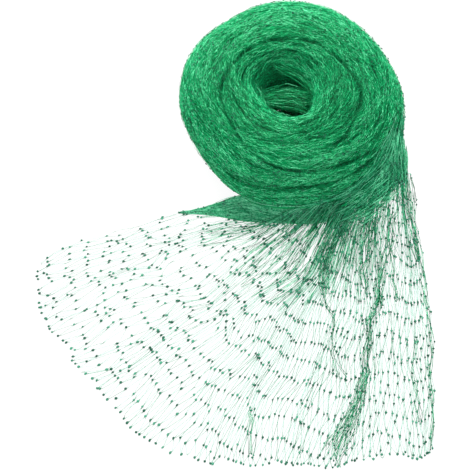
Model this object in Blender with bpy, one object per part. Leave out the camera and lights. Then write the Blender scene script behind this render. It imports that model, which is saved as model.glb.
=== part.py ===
"""Bird netting roll: one length of knotted garden net, gathered across its width and wound on itself.

The roll stands on its end with an open core. Its loose end leaves the right side of the roll, comes down
to the surface and fans out in front of the roll and to its left. Metres, +Z up, front towards -Y.
"""
import math

import bmesh
import bpy
import numpy as np

for old in list(bpy.data.objects):
    bpy.data.objects.remove(old, do_unlink=True)

# The wound form: a ring of netting whose turns show as ridges, a turn's pitch apart
ROLL_RADIUS = 0.1115
ROLL_HEIGHT = 0.094
CORE_RADIUS = 0.0275
ROLL_CENTRE = (0.0570, 0.1260)
CORE_CENTRE = (0.0500, 0.1180)
CORE_LEAN = (0.0070, 0.0110)
TURN_PITCH = 0.0165
TURN_DEPTH = 0.0014
RIDGE_MIDDLE = 0.6
SWELL = 0.0012
SWELL_ROUND = (2, 3)
SWELL_ALONG = (3.3, -2.1)
ROUND_STEPS = 64

# The section of the winding, as shares of the radius and the height: from the inner edge of the base up the
# narrow core, out over the crown and down the outer wall to the outer edge of the base
SECTION = (
    (0.270, 0.000),
    (0.165, 0.050),
    (0.145, 0.180),
    (0.165, 0.420),
    (0.215, 0.680),
    (0.275, 0.880),
    (0.360, 0.965),
    (0.480, 1.000),
    (0.640, 0.990),
    (0.790, 0.930),
    (0.910, 0.810),
    (0.980, 0.650),
    (1.000, 0.480),
    (0.965, 0.310),
    (0.885, 0.150),
    (0.800, 0.050),
    (0.730, 0.000),
)
# Steps along the section: coarse in the core and at the foot, fine where the turns show
CURVE_STEPS = 400
CORE_STEPS = 6
TURN_STEPS = 40
FOOT_STEPS = 3
CROWN_START = 0.31
FOOT_START = 0.90
# The stretch of the section that is creased, and how softly the creases start and end
CREASED = (0.33, 0.86)
CREASE_FADE = 0.06
CREASE_END = 16

# How far the outer wall departs from a circle: angle in degrees from +X, and metres outwards
WALL_SWING = (
    (0, 0.000),
    (40, 0.001),
    (90, 0.001),
    (140, 0.001),
    (180, 0.000),
    (215, -0.005),
    (240, -0.005),
    (275, 0.000),
    (320, 0.002),
    (360, 0.000),
)

# The deep creases between turns: depth and half width in metres, then the line that each follows, as angles
# in degrees from +X and shares of the way along the section
CREASES = {
    # name: (depth, half width, ((angle, share), ...))
    "mouth fold": (0.0028, 0.0034, ((20, 0.395), (54, 0.393), (107, 0.390), (147, 0.410), (190, 0.425))),
    "front fold": (0.0026, 0.0034, ((215, 0.475), (251, 0.478), (288, 0.478), (320, 0.462))),
    "long fold": (
        0.0040,
        0.0040,
        (
            (-53, 0.560),
            (-37, 0.533),
            (-12, 0.520),
            (12, 0.485),
            (66, 0.450),
            (123, 0.452),
            (168, 0.480),
            (199, 0.530),
            (223, 0.557),
            (246, 0.602),
            (266, 0.629),
            (288, 0.640),
            (314, 0.660),
            (330, 0.682),
        ),
    ),
    "right fold": (0.0034, 0.0034, ((-26, 0.605), (-10, 0.590), (10, 0.578))),
    "side fold": (0.0034, 0.0040, ((240, 0.735), (266, 0.708), (288, 0.706), (318, 0.690))),
}

# The loose end: a sheet, its bars and the meshes cut through it
NET_THICKNESS = 0.0020
NET_MESHES = 86
BAR_WIDTH = 0.0020
LEAST_GAP = 0.0040

# Where the strands of the loose end run, from the right edge to the left: how many meshes each lies from the
# right edge, then the x, y and height of its underside at eight stations
STRANDS = (
    # meshes, (on the wall, peeling off, on the slope, at its foot,
    #          near, halfway, far, at the outer edge)
    (0, ((0.170, 0.112, 0.062), (0.172, 0.054, 0.052), (0.177, 0.030, 0.034), (0.184, 0.005, 0.012),
         (0.188, -0.039, 0.000), (0.190, -0.102, 0.000), (0.187, -0.162, 0.000), (0.184, -0.214, 0.000))),
    (6, ((0.157, 0.066, 0.060), (0.160, 0.048, 0.056), (0.164, 0.030, 0.046), (0.168, 0.011, 0.022),
         (0.171, -0.012, 0.004), (0.170, -0.070, 0.000), (0.165, -0.150, 0.000), (0.160, -0.227, 0.000))),
    (19, ((0.142, 0.046, 0.053), (0.145, 0.033, 0.046), (0.148, 0.018, 0.030), (0.151, 0.002, 0.010),
          (0.151, -0.040, 0.000), (0.135, -0.098, 0.000), (0.120, -0.162, 0.000), (0.106, -0.234, 0.000))),
    (26, ((0.129, 0.033, 0.045), (0.128, 0.025, 0.038), (0.126, 0.014, 0.024), (0.124, 0.000, 0.006),
          (0.119, -0.050, 0.000), (0.113, -0.110, 0.000), (0.108, -0.177, 0.000), (0.097, -0.235, 0.000))),
    (33, ((0.111, 0.025, 0.034), (0.108, 0.020, 0.028), (0.103, 0.011, 0.015), (0.095, -0.005, 0.002),
          (0.089, -0.055, 0.000), (0.096, -0.117, 0.000), (0.101, -0.167, 0.000), (0.083, -0.237, 0.000))),
    (43, ((0.100, 0.023, 0.027), (0.095, 0.018, 0.020), (0.088, 0.010, 0.009), (0.077, -0.006, 0.000),
          (0.063, -0.055, 0.000), (0.050, -0.115, 0.000), (0.034, -0.180, 0.000), (0.015, -0.239, 0.000))),
    (56, ((0.089, 0.023, 0.020), (0.083, 0.019, 0.013), (0.073, 0.012, 0.004), (0.055, -0.006, 0.000),
          (0.025, -0.050, 0.000), (-0.009, -0.108, 0.000), (-0.043, -0.172, 0.000), (-0.071, -0.217, 0.000))),
    (68, ((0.074, 0.023, 0.014), (0.066, 0.021, 0.008), (0.054, 0.017, 0.002), (0.027, 0.005, 0.000),
          (-0.014, -0.026, 0.000), (-0.058, -0.073, 0.000), (-0.100, -0.122, 0.000), (-0.138, -0.164, 0.000))),
    (78, ((0.057, 0.023, 0.008), (0.048, 0.023, 0.004), (0.033, 0.022, 0.001), (0.001, 0.014, 0.000),
          (-0.040, -0.001, 0.000), (-0.088, -0.035, 0.000), (-0.138, -0.073, 0.000), (-0.185, -0.090, 0.000))),
    (86, ((0.041, 0.027, 0.005), (0.029, 0.028, 0.002), (0.013, 0.030, 0.000), (-0.020, 0.029, 0.000),
          (-0.056, 0.021, 0.000), (-0.106, 0.002, 0.000), (-0.158, -0.011, 0.000), (-0.194, -0.037, 0.000))),
)
# The neck, as a share of each strand's length, is gathered too tightly for open meshes
NECK_END = 0.30
NECK_ROWS = 8
OPEN_ROWS = 6
SCALLOPS = 11
SCALLOP_DEPTH = 0.0060
EDGE_STRETCH = 0.20

# The pleats that stand up off the surface, each along one strand for part of its length
PLEATS = (
    # name, meshes from the right edge, half width in meshes, height, from, to
    ("edge fold", 2, 1.6, 0.0040, 0.25, 0.95),
    ("right neck fold", 11, 1.8, 0.0030, 0.08, 0.40),
    ("long pleat", 19, 2.4, 0.0070, 0.20, 0.97),
    ("neck fold", 26, 1.8, 0.0030, 0.08, 0.40),
    ("middle pleat", 33, 2.4, 0.0060, 0.16, 0.58),
    ("left neck fold", 41, 1.8, 0.0025, 0.12, 0.40),
    ("front pleat", 47, 2.0, 0.0030, 0.70, 1.05),
    ("side bundle", 84, 3.6, 0.0065, 0.02, 0.40),
)
PLEAT_END = 0.10
# Small rises where the netting does not lie quite flat: their height, and how often two crossing sets of
# waves come and go across the net and along it
RIPPLE = 0.0010
RIPPLE_ACROSS = (12.3, 5.1)
RIPPLE_ALONG = (1.4, -2.2)


def smooth(places, values, at):
    """Values at the places asked for, on a smooth curve through the given places and values."""
    places = np.asarray(places, float)
    values = np.asarray(values, float)
    at = np.atleast_1d(np.asarray(at, float))
    slopes = np.gradient(values, places, axis=0)
    k = np.clip(np.searchsorted(places, at) - 1, 0, len(places) - 2)
    span = places[k + 1] - places[k]
    t = (at - places[k]) / span
    if values.ndim > 1:
        span = span[:, None]
        t = t[:, None]
    return (
        (1 + 2 * t) * (1 - t) ** 2 * values[k]
        + t * (1 - t) ** 2 * span * slopes[k]
        + t * t * (3 - 2 * t) * values[k + 1]
        + t * t * (t - 1) * span * slopes[k + 1]
    )


def path_shares(points):
    """How far along its own length each point of a path lies, from 0 to 1."""
    steps = np.linalg.norm(np.diff(points, axis=0), axis=1)
    along = np.concatenate([[0.0], np.cumsum(steps)])
    return along / along[-1]


def bump(distance, half_width):
    """A soft rise of height 1 that has died out at about twice the half width."""
    return np.exp(-((distance / half_width) ** 2))


def fade(at, first, last, soft):
    """1 between first and last, falling to 0 over the soft stretch outside them."""
    rise = np.clip((at - first) / soft + 1, 0, 1)
    fall = np.clip((last - at) / soft + 1, 0, 1)
    return rise * rise * (3 - 2 * rise) * fall * fall * (3 - 2 * fall)


def green(name, colour, roughness):
    """Plain green plastic twine."""
    material = bpy.data.materials.new(name)
    material.use_nodes = True
    shader = material.node_tree.nodes["Principled BSDF"]
    shader.inputs["Base Color"].default_value = (*colour, 1)
    shader.inputs["Roughness"].default_value = roughness
    shader.inputs["Metallic"].default_value = 0
    return material


def add_object(name, mesh, material, parent):
    """A shaded object for one piece, under the part's own origin."""
    mesh.materials.append(material)
    mesh.shade_smooth()
    thing = bpy.data.objects.new(name, mesh)
    bpy.context.scene.collection.objects.link(thing)
    thing.parent = parent
    return thing


def section_shares():
    """Places along the section: few in the core and at the foot, many over the crown and the outer wall."""
    core = np.linspace(0, CROWN_START, CORE_STEPS + 1)
    turns = np.linspace(CROWN_START, FOOT_START, TURN_STEPS + 1)
    foot = np.linspace(FOOT_START, 1, FOOT_STEPS + 1)
    return np.concatenate([core[:-1], turns[:-1], foot])


def section_curve():
    """Radius and height at each place along the section, the outward directions there and the length."""
    table = np.array(SECTION) * (ROLL_RADIUS, ROLL_HEIGHT)
    curve = smooth(path_shares(table), table, np.linspace(0, 1, CURVE_STEPS))
    curve[:, 1] = np.clip(curve[:, 1], 0, None)
    length = np.linalg.norm(np.diff(curve, axis=0), axis=1).sum()
    along = np.gradient(curve, axis=0)
    out = np.stack([-along[:, 1], along[:, 0]], axis=1)
    out /= np.linalg.norm(out, axis=1, keepdims=True)
    shares = section_shares()
    points = smooth(path_shares(curve), curve, shares)
    return points, smooth(path_shares(curve), out, shares), shares, length


def winding_relief(angle, shares, length):
    """How far the wound surface stands out at an angle in degrees, at places along the section."""
    distance = shares * length
    ridge = np.abs(np.sin(math.pi * (distance / TURN_PITCH + angle / 360)))
    turn = math.radians(angle)
    relief = TURN_DEPTH * (ridge - RIDGE_MIDDLE)
    first, second = (turn * around + math.tau * shares * up for around, up in zip(SWELL_ROUND, SWELL_ALONG))
    relief += SWELL * np.sin(first) * np.cos(second)
    for depth, half_width, line in CREASES.values():
        angles, places = np.array(line, float).T
        for lap in (-360, 0, 360):
            middle = smooth(angles, places, np.clip(angle + lap, angles[0], angles[-1]))[0]
            reach = fade(angle + lap, angles[0], angles[-1], CREASE_END)
            relief -= depth * reach * bump(distance - middle * length, half_width)
    return relief * fade(shares, *CREASED, CREASE_FADE)


def wound_roll(parent):
    """The wound form: one closed ring of netting with its turns as soft ridges."""
    section, out, shares, length = section_curve()
    outwards = np.clip((section[:, 0] - CORE_RADIUS) / (ROLL_RADIUS - CORE_RADIUS), 0, 1)
    lean = (1 - section[:, 1] / ROLL_HEIGHT) * (1 - outwards) ** 2
    centre_x = CORE_CENTRE[0] + (ROLL_CENTRE[0] - CORE_CENTRE[0]) * outwards + CORE_LEAN[0] * lean
    centre_y = CORE_CENTRE[1] + (ROLL_CENTRE[1] - CORE_CENTRE[1]) * outwards + CORE_LEAN[1] * lean
    swing_angles, swings = np.array(WALL_SWING, float).T
    body = bmesh.new()
    rings = []
    for step in range(ROUND_STEPS):
        angle = 360 * step / ROUND_STEPS
        relief = winding_relief(angle, shares, length)
        swing = smooth(swing_angles, swings, angle)[0]
        radius = section[:, 0] + relief * out[:, 0] + swing * outwards
        height = section[:, 1] + relief * out[:, 1]
        x = centre_x + radius * math.cos(math.radians(angle))
        y = centre_y + radius * math.sin(math.radians(angle))
        rings.append([body.verts.new(point) for point in zip(x, y, height)])
    for here, after in zip(rings, rings[1:] + rings[:1]):
        for k in range(len(here)):
            up = (k + 1) % len(here)
            body.faces.new((here[k], here[up], after[up], after[k]))
    bmesh.ops.recalc_face_normals(body, faces=body.faces)
    mesh = bpy.data.meshes.new("wound_roll")
    body.to_mesh(mesh)
    body.free()
    return add_object("wound_roll", mesh, green("wound netting", (0.012, 0.30, 0.10), 0.55), parent)


def net_surface(meshes, shares):
    """Points of the loose end's underside, at each of the given meshes across and shares along."""
    names = [name for name, _stations in STRANDS]
    strands = []
    for _name, stations in STRANDS:
        points = np.array(stations)
        strands.append(smooth(path_shares(points), points, shares))
    strands = np.array(strands)
    surface = np.stack([smooth(names, strands[:, k], meshes) for k in range(len(shares))], axis=1)
    across = np.asarray(meshes, float)[:, None]
    along = np.asarray(shares, float)[None, :]
    surface[..., 2] = np.clip(surface[..., 2], 0, None)
    for _name, middle, half_width, height, first, last in PLEATS:
        reach = fade(along, first, last, PLEAT_END)
        surface[..., 2] += height * bump(across - middle, half_width) * reach
    waves = [
        np.sin(math.tau * (across / NET_MESHES * sideways + along * lengthways))
        for sideways, lengthways in zip(RIPPLE_ACROSS, RIPPLE_ALONG)
    ]
    surface[..., 2] += RIPPLE * np.clip(waves[0] * waves[1], 0, 1) * fade(along, NECK_END, 1, PLEAT_END)
    edge = fade(along, 1, 1, EDGE_STRETCH)
    pull = SCALLOP_DEPTH * (np.abs(np.sin(math.pi * SCALLOPS * across / NET_MESHES)) - 0.5) * edge
    heading = np.gradient(surface, axis=1)
    heading[..., 2] = 0
    heading /= np.linalg.norm(heading, axis=2, keepdims=True)
    return surface + heading * pull[..., None]


def net_normals(surface):
    """The direction away from the roll and the floor at each point of the loose end."""
    across = np.gradient(surface, axis=0)
    along = np.gradient(surface, axis=1)
    normals = np.cross(across, along)
    normals /= np.linalg.norm(normals, axis=2, keepdims=True)
    return normals


def net_cells():
    """Cells of the loose end, as their corners' (row, column) and whether they may be open.

    The neck is plain quads two columns wide. Past it each cell is one mesh, whose knots are the points where
    row and column are both even or both odd, and the cells at the edges are half meshes.
    """
    for row in range(NECK_ROWS):
        for column in range(0, NET_MESHES, 2):
            yield [(row, column), (row, column + 2), (row + 1, column + 2), (row + 1, column)], False
    last = NECK_ROWS + OPEN_ROWS
    for row in range(NECK_ROWS, last + 1):
        for column in range(NET_MESHES + 1):
            if (row - NECK_ROWS + column) % 2 == 0:
                continue
            above = (row - 1, column)
            right = (row, min(column + 1, NET_MESHES))
            below = (min(row + 1, last), column)
            left = (row, max(column - 1, 0))
            corners = [right, below, left] if row == NECK_ROWS else [above, right, below, left]
            yield corners, row > NECK_ROWS and 0 < column < NET_MESHES


def open_share(corners):
    """How much of a mesh is open once its bars have their width, or 0 where the gap is too small."""
    _above, right, _below, left = corners
    width = np.linalg.norm(right - left)
    share = 1 - BAR_WIDTH / max(width, BAR_WIDTH)
    return share if share * width > LEAST_GAP else 0.0


def ring(first, second):
    """Quads between two loops of the same number of points."""
    count = len(first)
    for k in range(count):
        after = (k + 1) % count
        yield first[k], first[after], second[after], second[k]


def loose_net(parent):
    """The loose end: a sheet with its meshes cut through, at twice the real pitch, where they stand open."""
    neck = np.linspace(0, NECK_END, NECK_ROWS + 1)
    shares = np.concatenate([neck, np.linspace(NECK_END, 1, OPEN_ROWS + 1)[1:]])
    surface = net_surface(np.arange(NET_MESHES + 1), shares)
    under = surface.transpose(1, 0, 2)
    over = under + NET_THICKNESS * net_normals(surface).transpose(1, 0, 2)
    body = bmesh.new()
    knots = {}
    walls = {}
    for cell, may_open in net_cells():
        for place in cell:
            if place not in knots:
                knots[place] = (body.verts.new(over[place]), body.verts.new(under[place]))
        high = [knots[place][0] for place in cell]
        low = [knots[place][1] for place in cell]
        for wall, place, after in zip(ring(high, low), cell, cell[1:] + cell[:1]):
            walls[place, after] = wall
        share = open_share([over[place] for place in cell]) if may_open else 0.0
        if share == 0:
            body.faces.new(high)
            body.faces.new(low[::-1])
            continue
        gaps = []
        for layer in (over, under):
            corners = np.array([layer[place] for place in cell])
            middle = corners.mean(axis=0)
            gaps.append([body.verts.new(point) for point in middle + share * (corners - middle)])
        for quad in [*ring(high, gaps[0]), *ring(gaps[1], low), *ring(gaps[0], gaps[1])]:
            body.faces.new(quad)
    for (place, after), wall in walls.items():
        if (after, place) not in walls:
            body.faces.new(wall)
    bmesh.ops.recalc_face_normals(body, faces=body.faces)
    mesh = bpy.data.meshes.new("loose_net")
    body.to_mesh(mesh)
    body.free()
    return add_object("loose_net", mesh, green("loose netting", (0.02, 0.34, 0.13), 0.5), parent)


def stand_on_origin(parent, things):
    """Moves the part so that its origin is under the middle of its box, on the surface it stands on."""
    corners = np.array([vertex.co for thing in things for vertex in thing.data.vertices])
    low = corners.min(axis=0)
    high = corners.max(axis=0)
    parent.location = (-(low[0] + high[0]) / 2, -(low[1] + high[1]) / 2, -low[2])


part_origin = bpy.data.objects.new("part_origin", None)
bpy.context.scene.collection.objects.link(part_origin)
stand_on_origin(part_origin, [wound_roll(part_origin), loose_net(part_origin)])
bpy.context.view_layer.update()
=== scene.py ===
"""Bird netting roll: one length of knotted garden net, gathered, wound on itself and spread at its loose end.

The roll stands on its end with an open core. The loose end leaves its right side and fans out on the floor
in front. Metres, +Z up, front towards -Y.
"""
import math
from functools import partial

import bpy
import numpy as np
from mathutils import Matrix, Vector


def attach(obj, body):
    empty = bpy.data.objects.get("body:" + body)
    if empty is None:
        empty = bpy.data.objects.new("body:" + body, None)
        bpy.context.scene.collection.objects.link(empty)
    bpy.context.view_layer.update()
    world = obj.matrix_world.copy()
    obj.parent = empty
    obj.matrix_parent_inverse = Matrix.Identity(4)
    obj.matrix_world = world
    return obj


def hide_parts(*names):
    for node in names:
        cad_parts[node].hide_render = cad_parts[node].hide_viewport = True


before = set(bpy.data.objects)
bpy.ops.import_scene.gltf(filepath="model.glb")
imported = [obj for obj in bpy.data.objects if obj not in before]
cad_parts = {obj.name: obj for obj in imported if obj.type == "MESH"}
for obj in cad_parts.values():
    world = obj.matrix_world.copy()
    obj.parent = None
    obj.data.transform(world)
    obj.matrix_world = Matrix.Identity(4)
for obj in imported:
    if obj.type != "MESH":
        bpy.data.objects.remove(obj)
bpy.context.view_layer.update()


# ------------------------------------------------------------
# The place it stands in: a plain white floor and soft light from all round, with a large soft lamp overhead.
# The camera looks steeply down at the front of the roll.
# ------------------------------------------------------------

# The roll and the net are drawn about a point this far from the part's origin
DRAWN_FROM = np.array((0.0016, 0.0013, 0.0))

# The camera: degrees down, distance, and focal length in pixels of a square picture on its sensor
LOOK_DOWN = 64
LOOK_DISTANCE = 1.15
LENS_PIXELS = 1150
PICTURE_PIXELS = 470
SENSOR_WIDTH = 36
SIGHT_END = 20
FLOOR_SIZE = 6.0
FLOOR_GREY = 0.07
FLOOR_ROUGHNESS = 0.9
FLOOR_GLOW = 0.93
SKY_LIGHT = 0.98
LAMPS = (
    # name, place, the point that it faces, size, power
    ("overhead lamp", (-0.2, 0.9, 1.4), (0.0, 0.0, 0.0), 1.2, 36),
    ("front lamp", (0.5, -1.5, 1.3), (0.0, 0.0, 0.05), 1.0, 10),
)

scene = bpy.context.scene
scene.view_settings.view_transform = "Standard"

camera_data = bpy.data.cameras.new("camera")
camera_data.sensor_width = SENSOR_WIDTH
camera_data.lens = SENSOR_WIDTH * LENS_PIXELS / PICTURE_PIXELS
camera_data.clip_end = SIGHT_END
camera = bpy.data.objects.new("camera", camera_data)
scene.collection.objects.link(camera)
down = math.radians(LOOK_DOWN)
camera.location = Vector(DRAWN_FROM) + LOOK_DISTANCE * Vector((0, -math.cos(down), math.sin(down)))
camera.rotation_euler = (math.radians(90) - down, 0, 0)
scene.camera = camera

floor_mesh = bpy.data.meshes.new("floor")
half = FLOOR_SIZE / 2
corners = [(-half, -half, 0), (half, -half, 0), (half, half, 0), (-half, half, 0)]
floor_mesh.from_pydata(corners, [], [(0, 1, 2, 3)])
floor = bpy.data.objects.new("floor", floor_mesh)
scene.collection.objects.link(floor)
floor_paint = bpy.data.materials.new("white floor")
floor_paint.use_nodes = True
floor_shader = floor_paint.node_tree.nodes["Principled BSDF"]
floor_shader.inputs["Base Color"].default_value = (FLOOR_GREY, FLOOR_GREY, FLOOR_GREY, 1)
floor_shader.inputs["Roughness"].default_value = FLOOR_ROUGHNESS
floor_shader.inputs["Emission Color"].default_value = (1, 1, 1, 1)
floor_shader.inputs["Emission Strength"].default_value = FLOOR_GLOW
floor_mesh.materials.append(floor_paint)

world = bpy.data.worlds.new("soft light")
world.use_nodes = True
world.node_tree.nodes["Background"].inputs["Color"].default_value = (1, 1, 1, 1)
world.node_tree.nodes["Background"].inputs["Strength"].default_value = SKY_LIGHT
scene.world = world

for name, place, aim, size, power in LAMPS:
    lamp_data = bpy.data.lights.new(name, "AREA")
    lamp_data.size = size
    lamp_data.energy = power
    lamp = bpy.data.objects.new(name, lamp_data)
    scene.collection.objects.link(lamp)
    lamp.location = place
    lamp.rotation_euler = (Vector(aim) - Vector(place)).to_track_quat("-Z", "Y").to_euler()


# ------------------------------------------------------------
# The wound body: hundreds of gathered layers of thin green net, too dense to see between. It is wound by
# hand on itself with no tube, so its turns show as soft ridges with deep creases between some of them.
# ------------------------------------------------------------

ROLL_RADIUS = 0.1115
ROLL_HEIGHT = 0.094
CORE_RADIUS = 0.0275
ROLL_CENTRE = (0.0570, 0.1260)
CORE_CENTRE = (0.0500, 0.1180)
CORE_LEAN = (0.0070, 0.0110)
TURN_PITCH = 0.0165
TURN_DEPTH = 0.0009
RIDGE_MIDDLE = 0.6
# Broad swells of the wound form: their height, and their waves round the roll and along the section
SWELL = 0.0012
SWELLS = ((2, 3.3), (3, -2.1))

# The section of the winding, as shares of the radius and the height: from the inner edge of the base up the
# narrow core, out over the crown and down the outer wall to the outer edge of the base
SECTION = (
    (0.270, 0.000), (0.165, 0.050), (0.145, 0.180), (0.165, 0.420), (0.215, 0.680), (0.275, 0.880),
    (0.360, 0.965), (0.480, 1.000), (0.640, 0.990), (0.790, 0.930), (0.910, 0.810), (0.980, 0.650),
    (1.000, 0.480), (0.965, 0.310), (0.885, 0.150), (0.800, 0.050), (0.730, 0.000),
)
CURVE_STEPS = 400
# The winding is ridged and creased between these places along the section, and fades out past them
CREASED = (0.33, 0.86)
CREASE_FADE = 0.06

# How far the outer wall departs from a circle: angle in degrees from +X, and metres outwards
WALL_SWING = (
    (0, 0.000), (14, -0.003), (30, -0.005), (45, -0.003), (65, 0.000), (90, 0.001), (110, 0.000),
    (125, -0.002), (140, 0.001), (180, 0.000), (215, -0.005), (228, -0.004), (242, -0.001), (275, 0.000),
    (320, 0.002), (360, 0.000),
)

# How far the mouth of the core departs from a circle, as above, and where along the section it lies
MOUTH_SWING = (
    (0, 0.0000), (45, 0.0015), (90, 0.0065), (125, 0.0060), (180, 0.0035), (225, 0.0005), (270, 0.0045),
    (305, 0.0050), (335, 0.0020), (360, 0.0000),
)
MOUTH = (0.24, 0.36)
MOUTH_FADE = 0.07

# The deep creases between turns: depth and half width in metres, then the line that each follows, as angles
# in degrees from +X and shares of the way along the section
CREASES = {
    "mouth fold": (0.0026, 0.0014, ((20, 0.395), (54, 0.393), (107, 0.390), (147, 0.410), (190, 0.425))),
    "front fold": (0.0026, 0.0014, ((215, 0.475), (251, 0.478), (288, 0.478), (320, 0.462))),
    "long fold": (
        0.0046,
        0.0016,
        (
            (-53, 0.560), (-37, 0.533), (-12, 0.520), (12, 0.485), (66, 0.450), (123, 0.452), (168, 0.480),
            (199, 0.530), (223, 0.557), (246, 0.602), (266, 0.629), (288, 0.640), (314, 0.660), (330, 0.682),
        ),
    ),
    "right fold": (0.0038, 0.0014, ((-26, 0.605), (-10, 0.590), (10, 0.578))),
    "side fold": (0.0042, 0.0015, ((240, 0.735), (266, 0.708), (288, 0.706), (318, 0.690))),
}

# How many degrees a crease takes to die out at its ends, its mean depth as a share of its greatest, and how
# that varies along it: by how much, how often round the roll, and how much later in a deeper crease
CREASE_END = 16
CREASE_MEAN = 0.58
CREASE_VARIES = 0.42
CREASE_BREAKS = 9
CREASE_SHIFT = 5000
# Short slight creases wherever a layer has slipped: how many, and the least and most of each measure
SLIP_SEED = 5
SLIPS = 110
SLIP_SHARES = (0.36, 0.84)
SLIP_SPANS = (10, 34)
SLIP_SLOPES = (-0.0006, 0.0006)
SLIP_DEPTHS = (0.0005, 0.0018)
SLIP_WIDTHS = (0.0005, 0.0011)
# Fine ridges of the single layers, over the turns: how many there are along the section, their height, and
# how they wander: how far, and in how many slow and quick waves round the roll
LAYER_RIDGES = (31, 47, 74)
LAYER_DEPTH = 0.0002
LAYER_WANDER = 1.6
SLOW_WAVES = 2
QUICK_WAVES = 5
QUICK_SLANT = 3

# Painted light and shade: how much lighter the ridges of the turns are painted, how much darker a crease is
# painted, and how deep the darkest ones are
RIDGE_PAINTED_LIGHT = 0.12
CREASE_PAINTED_SHADE = 0.72
DARKEST_CREASE = 0.0028
# Lighter and darker patches of the winding: waves round the roll and along the section, and how strong
PATCHES = ((9, 7), (14, -10))
PATCH_TONE = 0.02
# Painted shade down in the core, darkest on the side at this angle: how far along the section it is dark and
# how much further on that side, how softly that ends, how much darker it is and how much more on that side
CORE_SHADE_ANGLE = 150
CORE_SHADE_END = 0.22
CORE_SHADE_FURTHER = 0.115
CORE_SHADE_SOFT = 0.04
CORE_PAINTED_SHADE = 0.35
CORE_PAINTED_SHADE_MORE = 0.20
# Broad painted light and shade of the winding: where along the section each starts and ends, how softly, how
# light it is
PAINTED_LIGHT_AND_SHADE = {
    "front wall": (0.66, 2, 0.12, -0.05),
    "left and right walls": (0.56, 2, 0.12, -0.05),
    "right side": (0.42, 2, 0.10, -0.06),
    "front and back of the top": (0.44, 0.66, 0.08, 0.06),
}
# Painted shade on the first turns round the core: where it ends, how softly, how much darker they are, and
# how much less at the back
INNER_SHADED_TURNS = (-1, 0.50, 0.10)
INNER_PAINTED_SHADE = 0.14
INNER_PAINTED_SHADE_LESS = 0.06


def eased(t, span, first, last, first_slope, last_slope):
    """Values the share t of the way along a smooth span with the given values and slopes at its ends."""
    return (
        (1 + 2 * t) * (1 - t) ** 2 * first
        + t * (1 - t) ** 2 * span * first_slope
        + t * t * (3 - 2 * t) * last
        + t * t * (t - 1) * span * last_slope
    )


def smooth(places, values, at):
    """Values at the places asked for, on a smooth curve through the given places and values."""
    places = np.asarray(places, float)
    values = np.asarray(values, float)
    at = np.atleast_1d(np.asarray(at, float))
    slopes = np.gradient(values, places, axis=0)
    k = np.clip(np.searchsorted(places, at) - 1, 0, len(places) - 2)
    span = places[k + 1] - places[k]
    t = (at - places[k]) / span
    if values.ndim > 1:
        span = span[..., None]
        t = t[..., None]
    return eased(t, span, values[k], values[k + 1], slopes[k], slopes[k + 1])


def path_shares(points):
    """How far along its own length each point of a path lies, from 0 to 1."""
    steps = np.linalg.norm(np.diff(points, axis=0), axis=1)
    along = np.concatenate([[0.0], np.cumsum(steps)])
    return along / along[-1]


def bump(distance, half_width):
    """A soft rise of height 1 that has died out at about twice the half width."""
    return np.exp(-((distance / half_width) ** 2))


def fade(at, first, last, soft):
    """1 between first and last, falling to 0 over the soft stretch outside them."""
    rise = np.clip((at - first) / soft + 1, 0, 1)
    fall = np.clip((last - at) / soft + 1, 0, 1)
    return rise * rise * (3 - 2 * rise) * fall * fall * (3 - 2 * fall)


section_table = np.array(SECTION) * (ROLL_RADIUS, ROLL_HEIGHT)
section_curve = smooth(path_shares(section_table), section_table, np.linspace(0, 1, CURVE_STEPS))
section_curve[:, 1] = np.clip(section_curve[:, 1], 0, None)
section_length = np.linalg.norm(np.diff(section_curve, axis=0), axis=1).sum()
section_along = np.gradient(section_curve, axis=0)
section_out = np.stack([-section_along[:, 1], section_along[:, 0]], axis=1)
section_out /= np.linalg.norm(section_out, axis=1, keepdims=True)
section_places = path_shares(section_curve)

slip_ranges = np.array([(0, 360), SLIP_SHARES, SLIP_SPANS, SLIP_SLOPES, SLIP_DEPTHS, SLIP_WIDTHS])
slips = np.random.default_rng(SLIP_SEED).uniform(*slip_ranges.T, (SLIPS, len(slip_ranges)))


def phases(waves, angles, shares):
    """The phase of each of some waves, which are given as waves round the roll and along the section."""
    return [np.radians(angles) * around + math.tau * shares * up for around, up in waves]


def ridges(angles, shares):
    """How far the ridges of the turns rise above their middle height, as a share of their full height."""
    return np.abs(np.sin(math.pi * (shares * section_length / TURN_PITCH + angles / 360))) - RIDGE_MIDDLE


def creases(angles, shares):
    """How deep the creases are at each angle in degrees and place along the section."""
    depth_here = np.zeros(np.broadcast(angles, shares).shape)
    for depth, half_width, line in CREASES.values():
        line_angles, places = np.array(line, float).T
        for lap in (-360, 0, 360):
            middle = smooth(line_angles, places, np.clip(angles + lap, line_angles[0], line_angles[-1]))
            reach = fade(angles + lap, line_angles[0], line_angles[-1], CREASE_END)
            shift = depth * CREASE_SHIFT
            broken = CREASE_MEAN + CREASE_VARIES * np.sin(CREASE_BREAKS * np.radians(angles) + shift)
            depth_here += depth * reach * broken * bump((shares - middle) * section_length, half_width)
    for angle, share, span, slope, depth, half_width in slips:
        away = (angles - angle + 180) % 360 - 180
        across = (shares - share - slope * away) * section_length
        depth_here += depth * bump(away, span) * bump(across, half_width)
    return depth_here


def relief(angles, shares):
    """How far the wound surface stands out from its plain section."""
    turn = np.radians(angles)
    height = TURN_DEPTH * ridges(angles, shares)
    first, second = phases(SWELLS, angles, shares)
    height += SWELL * np.sin(first) * np.cos(second)
    height -= creases(angles, shares)
    for count in LAYER_RIDGES:
        wander = LAYER_WANDER * np.sin(turn * SLOW_WAVES + count)
        wander = wander + np.sin(turn * QUICK_WAVES + count * shares * QUICK_SLANT)
        height += LAYER_DEPTH * np.sin(math.tau * count * shares + wander)
    return height * fade(shares, *CREASED, CREASE_FADE)


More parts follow.
